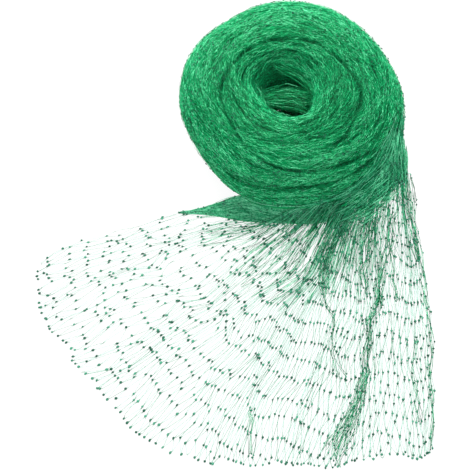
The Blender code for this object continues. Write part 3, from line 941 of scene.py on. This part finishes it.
def across_strands(strands, meshes, shares):
    """Points on the smooth surface through a table of strands."""
    strand_meshes = np.array([mesh for mesh, _stations in strands], float)
    strand_paths = [route(stations) for _mesh, stations in strands]
    paths = np.array([smooth(path_shares(path), path, shares) for path in strand_paths])
    slopes = np.gradient(paths, strand_meshes, axis=0)
    k = np.clip(np.searchsorted(strand_meshes, meshes) - 1, 0, len(strands) - 2)
    each = np.arange(len(meshes))
    span = (strand_meshes[k + 1] - strand_meshes[k])[:, None]
    t = (meshes - strand_meshes[k])[:, None] / span
    points = eased(t, span, paths[k, each], paths[k + 1, each], slopes[k, each], slopes[k + 1, each])
    points[:, 2] = np.clip(points[:, 2], 0, None)
    return points + DRAWN_FROM


def net_surface(meshes, shares, raised=0.0):
    """Points of the loose end at meshes from its right edge and shares of its length.

    Shares below 0 run back along the roll's wall. A raised layer leaves the wall that much higher.
    """
    shape = meshes.shape
    meshes = meshes.ravel()
    shares = shares.ravel()
    turn = math.tau * meshes / GATHER_MESHES
    gather = GATHER * fade(shares, -1, GATHER_END, GATHER_FADE)
    meshes = meshes + gather * np.sin(turn + np.sin(GATHER_WANDER * meshes)) * GATHER_MESHES / math.tau
    meshes = np.clip(meshes, 0, NET_MESHES)
    edge = fade(shares, 1, 1, EDGE_STRETCH) * (np.abs(np.sin(math.pi * SCALLOPS * meshes / NET_MESHES)) - 0.5)
    along = shares + SCALLOP_DEPTH / NET_LENGTH * edge
    points = across_strands(STRANDS, meshes, np.clip(along, 0, None))
    waves = [
        np.sin(math.tau * (meshes / NET_MESHES * sideways + shares * lengthways))
        for sideways, lengthways in zip(RIPPLE_ACROSS, RIPPLE_ALONG)
    ]
    points[:, 2] += RIPPLE * np.clip(waves[0] * waves[1], 0, 1) * fade(shares, RIPPLE_START, 1, RIPPLE_FADE)
    points[:, 2] += raised * fade(shares, -1, 0, PEEL_END)
    back = np.clip(-shares, 0, None) * NET_LENGTH
    wall_angles, wall_shares = on_wall(points)
    beside, _out = roll_surface(wall_angles, wall_shares, WALL_LIFT)
    behind, _out = roll_surface(wall_angles + np.degrees(back / ROLL_RADIUS), wall_shares, WALL_LIFT)
    behind += (points - beside) * np.exp(-back / WALL_EASE)[:, None]
    points = np.where(back[:, None] > 0, behind, points)
    return clear_of_wall(points).reshape(*shape, 3)


def knot_grid(meshes, first_row, last_row):
    """Meshes and rows of a stretch of netting, a line for each half mesh, and where its knots are."""
    lines, rows = np.meshgrid(np.arange(2 * meshes + 1), np.arange(first_row, last_row + 1), indexing="ij")
    return lines / 2, rows.astype(float), (lines + rows) % 2 == 0


def knotted(surface, meshes, shares, lifts, there, random, steps):
    """The bars of a net from knot to knot and their meshes, and its knots and the way each points."""
    part = np.array(steps)
    grids = (meshes, shares, lifts)
    bars, bar_meshes = [], []
    for step in (-1, 1):
        here = there[:, :-1] & np.roll(there[:, 1:], -step, axis=0)
        here[-1 if step == 1 else 0] = False
        i, j = np.nonzero(here)
        ends = [(grid[i, j][:, None], grid[i + step, j + 1][:, None]) for grid in grids]
        mesh, share, lift = (near * (1 - part) + far * part for near, far in ends)
        mesh = mesh + BAR_SLACK * random.normal(0, 1, (len(i), 1)) * np.sin(math.pi * part)
        paths = surface(mesh, share)
        paths[..., 2] += lift
        bars.append(paths)
        bar_meshes.append(mesh[:, 0])
    centres = surface(meshes[there], shares[there])
    centres[:, 2] += lifts[there]
    ahead, behind = (surface(meshes[there], shares[there] + way) for way in (KNOT_AHEAD, -KNOT_AHEAD))
    headings = unit(ahead - behind)
    aside = np.cross(headings, UPWARD)
    headings = unit(headings + aside * random.normal(0, KNOT_TURN, (len(headings), 1)))
    return np.concatenate(bars), np.concatenate(bar_meshes), centres, headings


def net_piece(name, bars, radii, bar_tones, material):
    """A piece of the part made of the bars of a net."""
    tones = np.clip(np.broadcast_to(bar_tones, bars.shape[:2]), 0, 1)
    threads = tubes(bars, np.broadcast_to(UPWARD, bars.shape), radii, tones)
    return twine_piece(name, threads, material)


def knot_piece(name, centres, headings, lengths, widths, kept, sides, seed):
    """A piece of the part made of a share of a net's knots."""
    random = np.random.default_rng(seed)
    chosen = random.uniform(0, 1, len(centres)) < kept
    centres, headings, lengths, widths = centres[chosen], headings[chosen], lengths[chosen], widths[chosen]
    lengths = lengths * random.uniform(*KNOT_LENGTH_VARIES, len(centres))
    widths = widths * random.uniform(*KNOT_WIDTH_VARIES, len(centres))
    knot_tones = random.uniform(0, 1, len(centres))
    knots = beads(centres, headings, lengths, widths, knot_tones, sides)
    return twine_piece(name, knots, knot_twine)


def along_net(table, meshes):
    """The value that a table of meshes and values gives at each mesh."""
    return smooth(*np.array(table).T, meshes.ravel()).reshape(meshes.shape)


def worked(meshes, rows, patch, random):
    """Smooth random shifts from -1 to 1, alike within a patch of so many meshes and rows."""
    at = [(meshes + NET_MESHES) / patch[0], (rows + NET_ROWS) / patch[1]]
    table = random.uniform(-1, 1, [int(places.max()) + 2 for places in at])
    i, j = (places.astype(int) for places in at)
    across, along = ((3 - 2 * t) * t * t for t in (at[0] - i, at[1] - j))
    first = table[i, j] * (1 - across) + table[i + 1, j] * across
    last = table[i, j + 1] * (1 - across) + table[i + 1, j + 1] * across
    return first * (1 - along) + last * along


spread = []
for seed, first_mesh, layer_meshes, wider, foot, wave_meshes, shift in SPREAD_LAYERS:
    random = np.random.default_rng(seed)
    meshes, rows, there = knot_grid(layer_meshes, FIRST_ROW, NET_ROWS)
    meshes = first_mesh + wider * meshes
    wave = along_net(ROW_WAVE, meshes) * np.cos(math.tau * ((meshes - foot) / wave_meshes + rows * shift))
    shares = (rows + along_net(ROW_DRIFT, meshes)) / NET_ROWS + wave
    shares += random.normal(0, 1, rows.shape) * along_net(ROW_SLACK, meshes)
    shares += worked(meshes, rows, PATCH_ALONG, random) * along_net(WORKED_ALONG, meshes)
    lengths, widths = along_net(KNOT_LENGTHS, meshes), along_net(KNOT_WIDTHS, meshes)
    meshes = meshes + random.normal(0, 1, rows.shape) * along_net(MESH_SLACK, meshes)
    meshes += worked(meshes, rows, PATCH_ACROSS, random) * along_net(WORKED_ACROSS, meshes)
    least_share, greatest_share = SNAGGED_SHARES
    for caught in random.uniform((0, least_share), (SNAGGED_MESHES, greatest_share), (SNAGS, 2)):
        off_mesh, off_share = meshes - caught[0], shares - caught[1]
        pull = SNAG_PULL * bump(off_mesh, SNAG_MESHES) * bump(off_share, SNAG_ROWS / NET_ROWS)
        meshes, shares = meshes - off_mesh * pull, shares - off_share * pull
    there &= (shares > -ROWS_BACK / NET_ROWS) & (shares < 1 + ROWS_PAST / NET_ROWS)
    past = np.clip(shares - 1 + HEM_SLACK, 0, None)
    shares = shares - past + HEM_SLACK * (1 - np.exp(-past / HEM_SLACK))
    lifts = NET_LIFT + np.abs(random.normal(0, NET_LIFT_VARIES, rows.shape))
    net = knotted(net_surface, meshes, shares, lifts, there, random, NET_BAR_STEPS)
    apart = net_surface(meshes + 0.5, shares) - net_surface(meshes - 0.5, shares)
    kept = KNOTS_KEPT * np.clip(np.linalg.norm(apart, axis=-1) / CROWDED, 0, 1)
    spread.append((*net, lengths[there], widths[there], kept[there]))
bars, bar_meshes, centres, headings, lengths, widths, kept = joined(spread)
centres[:, 2] += widths / 2
net_twine = twine("loose green twine", NET_DARK, NET_MIDDLE, NET_LIGHT, NET_ROUGHNESS)
random = np.random.default_rng(NET_TONE_SEED)
bar_tones = random.normal(NET_TONE, NET_TONE_VARIES, (len(bars), 1)) + NET_BAR_TONES
least, greatest = (along_net(table, bar_meshes)[:, None] for table in (LEAST_RADIUS, GREATEST_RADIUS))
radii = least + (greatest - least) * NET_BAR_SHAPE
net_threads = net_piece("loose_net_threads", bars, radii, bar_tones, net_twine)
knots = (centres, headings, lengths, widths, kept)
net_knots = knot_piece("loose_net_knots", *knots, NET_KNOT_SIDES, NET_KNOT_SEED)
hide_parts("loose_net")


# ------------------------------------------------------------
# The pleats: places where the loose end is drawn together into slack see-through cords that run out over it,
# a few meshes of the net bunched in each.
# ------------------------------------------------------------

PLEATS = (
    # name, seeds, meshes, half width at its start, middle and end, height, the way that it runs
    ("edge pleat", (51, 57), 2, (0.004, 0.002, 0.001), 0.003,
     ((0.167, 0.050, 0.060), (0.173, 0.018, 0.040), (0.178, -0.006, 0.018), (0.183, -0.034, 0.001),
      (0.186, -0.066), (0.187, -0.112), (0.185, -0.152), (0.182, -0.191), (0.179, -0.222))),
    ("right pleat", (86, 87), 4, (0.005, 0.004, 0.0025), 0.003,
     ((0.160, 0.040, 0.055), (0.163, 0.027, 0.045), (0.169, 0.011, 0.032), (0.175, -0.004, 0.020),
      (0.178, -0.020, 0.008), (0.180, -0.039, 0.001))),
    ("low right pleat", (52,), 2, (0.002, 0.0014, 0.002), 0.002,
     ((0.171, -0.096), (0.173, -0.119), (0.169, -0.135), (0.170, -0.152), (0.169, -0.164), (0.172, -0.183),
      (0.170, -0.204))),
    ("straight pleat", (80,), 3, (0.004, 0.0025, 0.0015), 0.003,
     ((0.157, 0.012, 0.040), (0.155, 0.000, 0.026), (0.154, -0.012, 0.017), (0.154, -0.024, 0.008),
      (0.155, -0.042, 0.002), (0.156, -0.060), (0.157, -0.076))),
    ("upper pleat", (81, 83), 4, (0.006, 0.0045, 0.003), 0.004,
     ((0.157, 0.014, 0.041), (0.151, 0.001, 0.026), (0.149, -0.011, 0.017), (0.148, -0.024, 0.008),
      (0.143, -0.041, 0.002), (0.140, -0.060), (0.139, -0.076), (0.132, -0.088))),
    ("long pleat", (53, 54), 4, (0.006, 0.0030, 0.012), 0.005,
     ((0.144, -0.039, 0.002), (0.140, -0.058), (0.140, -0.074), (0.133, -0.088), (0.125, -0.097),
      (0.128, -0.110), (0.125, -0.125), (0.125, -0.138), (0.121, -0.153), (0.117, -0.164), (0.113, -0.178),
      (0.107, -0.193), (0.099, -0.207), (0.090, -0.220), (0.088, -0.235))),
    ("end of the long pleat", (58, 62), 5, (0.003, 0.006, 0.014), 0.004,
     ((0.125, -0.138), (0.121, -0.153), (0.117, -0.164), (0.113, -0.178), (0.107, -0.193), (0.099, -0.207),
      (0.090, -0.220), (0.086, -0.233))),
    ("inner pleat", (84, 85), 5, (0.008, 0.005, 0.0030), 0.004,
     ((0.138, 0.014, 0.036), (0.135, 0.002, 0.023), (0.131, -0.012, 0.013), (0.128, -0.027, 0.005),
      (0.125, -0.044), (0.127, -0.065))),
    ("hanging tuft", (88, 89), 5, (0.009, 0.006, 0.0050), 0.003,
     ((0.116, 0.008, 0.030), (0.109, 0.002, 0.019), (0.099, -0.010, 0.009), (0.091, -0.023, 0.003),
      (0.088, -0.040), (0.087, -0.060), (0.090, -0.074))),
    ("left tuft", (91,), 5, (0.006, 0.005, 0.003), 0.003,
     ((0.064, 0.016, 0.020), (0.057, 0.011, 0.014), (0.051, 0.004, 0.007), (0.046, -0.005, 0.002),
      (0.041, -0.013))),
    ("middle pleat", (56,), 3, (0.005, 0.0020, 0.004), 0.004,
     ((0.099, -0.001, 0.016), (0.091, -0.019, 0.005), (0.087, -0.044), (0.087, -0.072), (0.094, -0.092),
      (0.094, -0.113), (0.094, -0.130), (0.098, -0.144), (0.106, -0.153))),
    ("front pleat", (59,), 3, (0.001, 0.003, 0.009), 0.002,
     ((0.011, -0.172), (0.014, -0.186), (0.016, -0.200), (0.016, -0.216), (0.014, -0.233))),
)
# How far a pleat wavers to the side, how often quickly and how often slowly, and how much later in each mesh
PLEAT_WAVER = (0.0022, 61.0, 23.0, 3)
# How uneven a pleat's knots lie: along it as a share of its length, across it in meshes, and upwards
PLEAT_SLACK = (0.016, 0.55, 0.0006)
PLEAT_TWINE_RADIUS = 0.00019
PLEAT_LIGHT = -0.08
PLEAT_KNOTS_KEPT = 0.8
PLEAT_SEED = 61
BUNCH_BAR_STEPS = (0, 0.5, 1)
# Bunched layers thin out over so many meshes at their sides and over a share of their length at the end, and
# are gone so far past them. Their last knots lie up to so much of a row past the end
BUNCH_THINNED = (0.5, 0.02)
THINNED_PAST = (0.5, 0.02)
LAST_ROW_PAST = 0.5
BUNCH_KNOT = 0.0020
BUNCH_KNOT_WIDTH = 0.9
BUNCH_KNOT_SIDES = 4
BUNCH_ROUGHNESS = 0.4
BUNCH_TONE_VARIES = 0.1
# As on the roll, the light tone is painted highlight that stands in for glints on the twine, and the dark one
# is partly painted shade between the strands
BUNCH_DARK = (0.002, 0.100, 0.040)
BUNCH_MIDDLE = (0.018, 0.420, 0.180)
BUNCH_GLINT = (0.220, 0.800, 0.480)


def pleat_surface(path, half_widths, height, across_meshes, meshes, shares):
    """Points of a pleat at meshes from its right side and shares of its length."""
    shape = meshes.shape
    meshes = meshes.ravel()
    shares = np.clip(shares.ravel(), 0, 1)
    places = path_shares(path)
    points = smooth(places, path, shares)
    near = (np.clip(shares + way, 0, 1) for way in (KNOT_AHEAD, -KNOT_AHEAD))
    ahead, behind = (smooth(places, path, at) for at in near)
    heading = ahead - behind
    heading[:, 2] = 0
    side = unit(np.cross(UPWARD, heading))
    aside = 1 - 2 * meshes / across_meshes
    width = smooth((0, 0.5, 1), half_widths, shares)
    size, quick, slow, later = PLEAT_WAVER
    waver = size * (np.sin(quick * shares + later * meshes) + np.sin(slow * shares)) / 2
    points += side * (aside * width + waver)[:, None]
    points[:, 2] += height * np.clip(1 - aside**2, 0, 1)
    return clear_of_wall(points + DRAWN_FROM).reshape(*shape, 3)


def bunch(surface, across_meshes, rows, seeds, slack, thinned=BUNCH_THINNED):
    """Layers of netting bunched over each other on a surface: their bars, and their knots and headings."""
    along, sideways, upright = slack
    thin_sides, thin_end = thinned
    past_sides, past_end = THINNED_PAST
    layers = []
    for seed in seeds:
        random = np.random.default_rng(seed)
        meshes, row, there = knot_grid(across_meshes, 0, rows + 1)
        shares = (row + random.uniform(-1, 0)) / rows + random.normal(0, along, row.shape)
        there &= (shares >= 0) & (shares < 1 + LAST_ROW_PAST / rows)
        meshes = np.clip(meshes + random.normal(0, sideways, row.shape), 0, across_meshes)
        lifts = np.abs(random.normal(0, upright, row.shape))
        from_side = (past_sides + np.minimum(meshes, across_meshes - meshes)) / thin_sides
        from_end = (1 + past_end - shares) / thin_end
        there &= random.uniform(0, 1, row.shape) < np.minimum(from_side, from_end)
        layers.append(knotted(surface, meshes, np.clip(shares, 0, 1), lifts, there, random, BUNCH_BAR_STEPS))
    return layers


def bunched_pieces(name, layers, radius, light, kept, seed):
    """A piece of the bars of bunched netting, dark and light mixed, and a piece of a share of its knots."""
    bars, _meshes, centres, headings = joined(layers)
    bars[..., 2] += radius
    centres[:, 2] += BUNCH_KNOT / 2
    random = np.random.default_rng(seed)
    bar_tones = random.choice(DARK_PLAIN_GLINT_TONES, (len(bars), 1), p=TONE_SHARES)
    bar_tones = bar_tones + random.normal(light, BUNCH_TONE_VARIES, (len(bars), 1))
    threads = net_piece(name + "_threads", bars, radius, bar_tones, bunch_twine)
    lengths = np.full(len(centres), BUNCH_KNOT)
    knots = (centres, headings, lengths, BUNCH_KNOT_WIDTH * lengths, kept)
    return [threads, knot_piece(name + "_knots", *knots, BUNCH_KNOT_SIDES, seed + 1)]


bunch_twine = twine("bunched green twine", BUNCH_DARK, BUNCH_MIDDLE, BUNCH_GLINT, BUNCH_ROUGHNESS)
pleats = []
for _name, seeds, across_meshes, half_widths, height, path in PLEATS:
    path = route(path)
    rows = round(np.linalg.norm(np.diff(path, axis=0), axis=1).sum() * NET_ROWS / NET_LENGTH)
    surface = partial(pleat_surface, path, half_widths, height, across_meshes)
    pleats += bunch(surface, across_meshes, rows, seeds, PLEAT_SLACK)
bunched = bunched_pieces("pleat", pleats, PLEAT_TWINE_RADIUS, PLEAT_LIGHT, PLEAT_KNOTS_KEPT, PLEAT_SEED)


# ------------------------------------------------------------
# The neck: more layers of the net, bunched over each other, which peel off the roll's wall one above the
# other where the loose end leaves it and end a little way along it. Its foot is a slack fold of them that
# comes off the right of the wall and hangs over the rest.
# ------------------------------------------------------------

# How many rows past the roll's wall the layers of the neck reach, by meshes from the right edge
NECK_REACH = (
    (0, 0.4), (4, 0.6), (13, 1.6), (20, 2.0), (28, 2.2), (36, 2.0), (45, 1.8), (53, 1.6), (75, 1.8),
    (97, 2.2),
)
NECK_LAYERS = (
    # seed, rows more than that, how far raised, share of its knots left
    (28, 4.3, 0.000, 0.85),
    (23, 2.6, 0.001, 1.00),
    (24, 1.5, 0.002, 1.00),
    (25, 0.4, 0.004, 1.00),
    (26, -0.6, 0.005, 1.00),
    (27, -1.2, 0.006, 1.00),
)
# How many rows the neck runs back along the wall and out from it, how ragged its end is and how far a layer
# may be shifted, in rows, how unevenly its knots lie, as in the pleats, and how much lighter its threads are
NECK_START = 2
NECK_END = 6
NECK_RAGGED = 0.9
NECK_SHIFT = 0.5
NECK_SLACK = (0.014, 0.45, 0.0012)
NECK_LIGHT = 0.08
NECK_SEED = 36
# The foot and the side bundle: how unevenly their knots lie, what share of the knots shows there and in the
# neck, and the radius of their threads
BUNCH_SLACK = (0.020, 0.50, 0.0012)
BUNCH_KNOTS_KEPT = 0.05
BUNCH_TWINE_RADIUS = 0.00020
# The strands of the foot: how many meshes each lies from its upper edge, and its route
FOOT_STRANDS = (
    (0, ((0.146, 0.100, 0.078), (0.138, 0.074, 0.076), (0.126, 0.054, 0.069), (0.108, 0.038, 0.060),
         (0.086, 0.026, 0.048), (0.064, 0.022, 0.042))),
    (11, ((0.163, 0.083, 0.063), (0.159, 0.058, 0.060), (0.149, 0.039, 0.054), (0.133, 0.025, 0.047),
          (0.113, 0.013, 0.037), (0.088, 0.008, 0.028))),
    (22, ((0.169, 0.070, 0.054), (0.171, 0.046, 0.050), (0.167, 0.028, 0.045), (0.155, 0.013, 0.040),
          (0.137, -0.002, 0.033), (0.112, -0.011, 0.024))),
)
FOOT_SEEDS = (71, 72, 73, 74, 75, 76)
FOOT_THINNED = (6, 0.35)
FOOT_MESHES = 22
FOOT_ROWS = 7
# Under the threads the layers are too dense to see between: how many rows past the roll's wall they end, by
# meshes as above, how ragged that edge is and how many meshes there are to each of its points
LINING_REACH = (
    (0, 0.4), (4, 0.9), (8, 1.3), (13, 1.6), (20, 1.7), (28, 1.6), (36, 1.5), (45, 1.6), (53, 1.2), (68, 1.1),
    (75, 0.9), (97, 0.5),
)
LINING_SEED = 38
LINING_RAGGED = 1.1
LINING_POINTS = 2
LINING_STEPS = 20
LINING_SINK = 0.0012
LINING_THICK = 0.0010
LINING_STREAKS = (50, 1.4)
LINING_LIGHT = 0.10
# The same under the foot, in its middle only: its first and last mesh, its columns and steps, how far along
# the foot its points reach, and how its width wavers in meshes
FOOT_LINED = (3, 15)
FOOT_LINING_STEPS = (25, 30)
FOOT_LINING_SHARES = (0.55, 0.85)
FOOT_LINING_WAVER = 0.5


def strand_surface(strands, meshes, shares):
    """Points on the surface through a table of strands, kept out of the roll."""
    points = across_strands(strands, meshes.ravel(), np.clip(shares.ravel(), 0, 1))
    return clear_of_wall(points).reshape(*meshes.shape, 3)


def lining(name, surface, meshes, shares, shade):
    """A closed ragged sheet of dense layers just under the threads of a surface, with streaks along them."""
    top = surface(meshes, shares) - (0.0, 0.0, LINING_SINK)
    top[..., 2] = np.clip(top[..., 2], LINING_THICK, None)
    points = np.stack([top, top - (0.0, 0.0, LINING_THICK)])
    index = np.arange(2 * top[..., 0].size).reshape(points.shape[:3])
    upper, lower = index
    faces = [sheet_faces(upper), sheet_faces(lower.T)]
    for edge in (np.s_[:, 0], np.s_[-1, :], np.s_[::-1, -1], np.s_[0, ::-1]):
        faces.append(sheet_faces(np.stack([lower[edge], upper[edge]], axis=1)))
    along, across = LINING_STREAKS
    streaks = np.stack([along * shares, across * meshes, 0 * meshes], axis=-1)
    winding = np.stack([streaks, streaks]).reshape(-1, 3)
    values = {"winding": winding, "painted_light_and_tone": np.full(index.size, shade)}
    return new_piece(name, new_mesh(name, points.reshape(-1, 3), faces, values), net_layers)


foot_surface = partial(strand_surface, FOOT_STRANDS)
neck = bunch(foot_surface, FOOT_MESHES, FOOT_ROWS, FOOT_SEEDS, BUNCH_SLACK, FOOT_THINNED)
for seed, more_rows, raised, left in NECK_LAYERS:
    random = np.random.default_rng(seed)
    meshes, rows, there = knot_grid(NET_MESHES, -NECK_START, NECK_END)
    reach = along_net(NECK_REACH, meshes) + more_rows
    there &= rows <= reach + random.uniform(-NECK_RAGGED, NECK_RAGGED, (len(rows), 1))
    there &= random.uniform(0, 1, rows.shape) <= left
    along, sideways, upright = NECK_SLACK
    layer_shift = random.uniform(-NECK_SHIFT, NECK_SHIFT)
    shares = (rows + layer_shift) / NET_ROWS + random.normal(0, along, rows.shape)
    meshes = meshes + random.normal(0, sideways, rows.shape)
    lifts = np.abs(random.normal(0, upright, rows.shape))
    surface = partial(net_surface, raised=raised)
    neck.append(knotted(surface, meshes, shares, lifts, there, random, BUNCH_BAR_STEPS))
bunched += bunched_pieces("neck", neck, BUNCH_TWINE_RADIUS, NECK_LIGHT, BUNCH_KNOTS_KEPT, NECK_SEED)
random = np.random.default_rng(LINING_SEED)
meshes = np.linspace(0, NET_MESHES, 2 * NET_MESHES)
ragged = np.arange(0, NET_MESHES + LINING_POINTS, LINING_POINTS / 2)
ragged = np.interp(meshes, ragged, random.uniform(-LINING_RAGGED, LINING_RAGGED, len(ragged)))
reach = along_net(LINING_REACH, meshes) + ragged
meshes, part = np.meshgrid(meshes, np.linspace(0, 1, LINING_STEPS), indexing="ij")
shares = (-NECK_START + (reach[:, None] + NECK_START) * part) / NET_ROWS
bunched.append(lining("neck_lining", net_surface, meshes, shares, LINING_LIGHT))
columns, steps = FOOT_LINING_STEPS
meshes, shares = np.meshgrid(np.linspace(*FOOT_LINED, columns), np.linspace(0, 1, steps), indexing="ij")
shares = shares * random.uniform(*FOOT_LINING_SHARES, (columns, 1))
middle, half = sum(FOOT_LINED) / 2, (FOOT_LINED[1] - FOOT_LINED[0]) / 2
meshes = meshes + random.normal(0, FOOT_LINING_WAVER, (1, steps)) * (meshes - middle) / half
bunched.append(lining("foot_lining", foot_surface, meshes, shares, LINING_LIGHT))


# ------------------------------------------------------------
# The side bundle: the lowest layers of the winding, which come off the front of the roll close to the floor
# and lie beside it as a thick flat bundle that ends in a point on the left.
# ------------------------------------------------------------

# How many meshes each strand lies from the bundle's upper edge, and its route from the wall to the point
BUNDLE_STRANDS = (
    (0, ((0.112, 0.032, 0.034), (0.076, 0.024, 0.032), (0.042, 0.027, 0.028), (0.018, 0.034, 0.022),
         (0.002, 0.0365, 0.014), (-0.019, 0.0325, 0.006), (-0.037, 0.0275, 0.003), (-0.057, 0.0245, 0.001))),
    (10, ((0.114, 0.018, 0.016), (0.092, 0.011, 0.013), (0.062, 0.011, 0.010), (0.036, 0.018, 0.008),
          (0.014, 0.0255, 0.006), (-0.007, 0.0270, 0.003), (-0.030, 0.0250, 0.001), (-0.057, 0.0245))),
    (20, ((0.118, 0.026, 0.016), (0.100, 0.018, 0.012), (0.080, 0.0115, 0.006), (0.055, 0.0125, 0.001),
          (0.030, 0.0135), (0.005, 0.0160), (-0.023, 0.0215), (-0.056, 0.0240))),
)
BUNDLE_SEEDS = (41, 42, 43, 44, 45, 46, 47)
BUNDLE_MESHES = 20
BUNDLE_ROWS = 12
BUNDLE_LIGHT = 0.28
BUNDLE_SEED = 48
BUNDLE_LINING_STEPS = (15, 50)
BUNDLE_LINING_END = 0.97
BUNDLE_LINING_LIGHT = 0.35

bundle_surface = partial(strand_surface, BUNDLE_STRANDS)
bundle = bunch(bundle_surface, BUNDLE_MESHES, BUNDLE_ROWS, BUNDLE_SEEDS, BUNCH_SLACK)
bunched += bunched_pieces("bundle", bundle, BUNCH_TWINE_RADIUS, BUNDLE_LIGHT, BUNCH_KNOTS_KEPT, BUNDLE_SEED)
columns, steps = BUNDLE_LINING_STEPS
meshes = np.linspace(0, BUNDLE_MESHES, columns)
meshes, shares = np.meshgrid(meshes, np.linspace(0, BUNDLE_LINING_END, steps), indexing="ij")
bunched.append(lining("bundle_lining", bundle_surface, meshes, shares, BUNDLE_LINING_LIGHT))
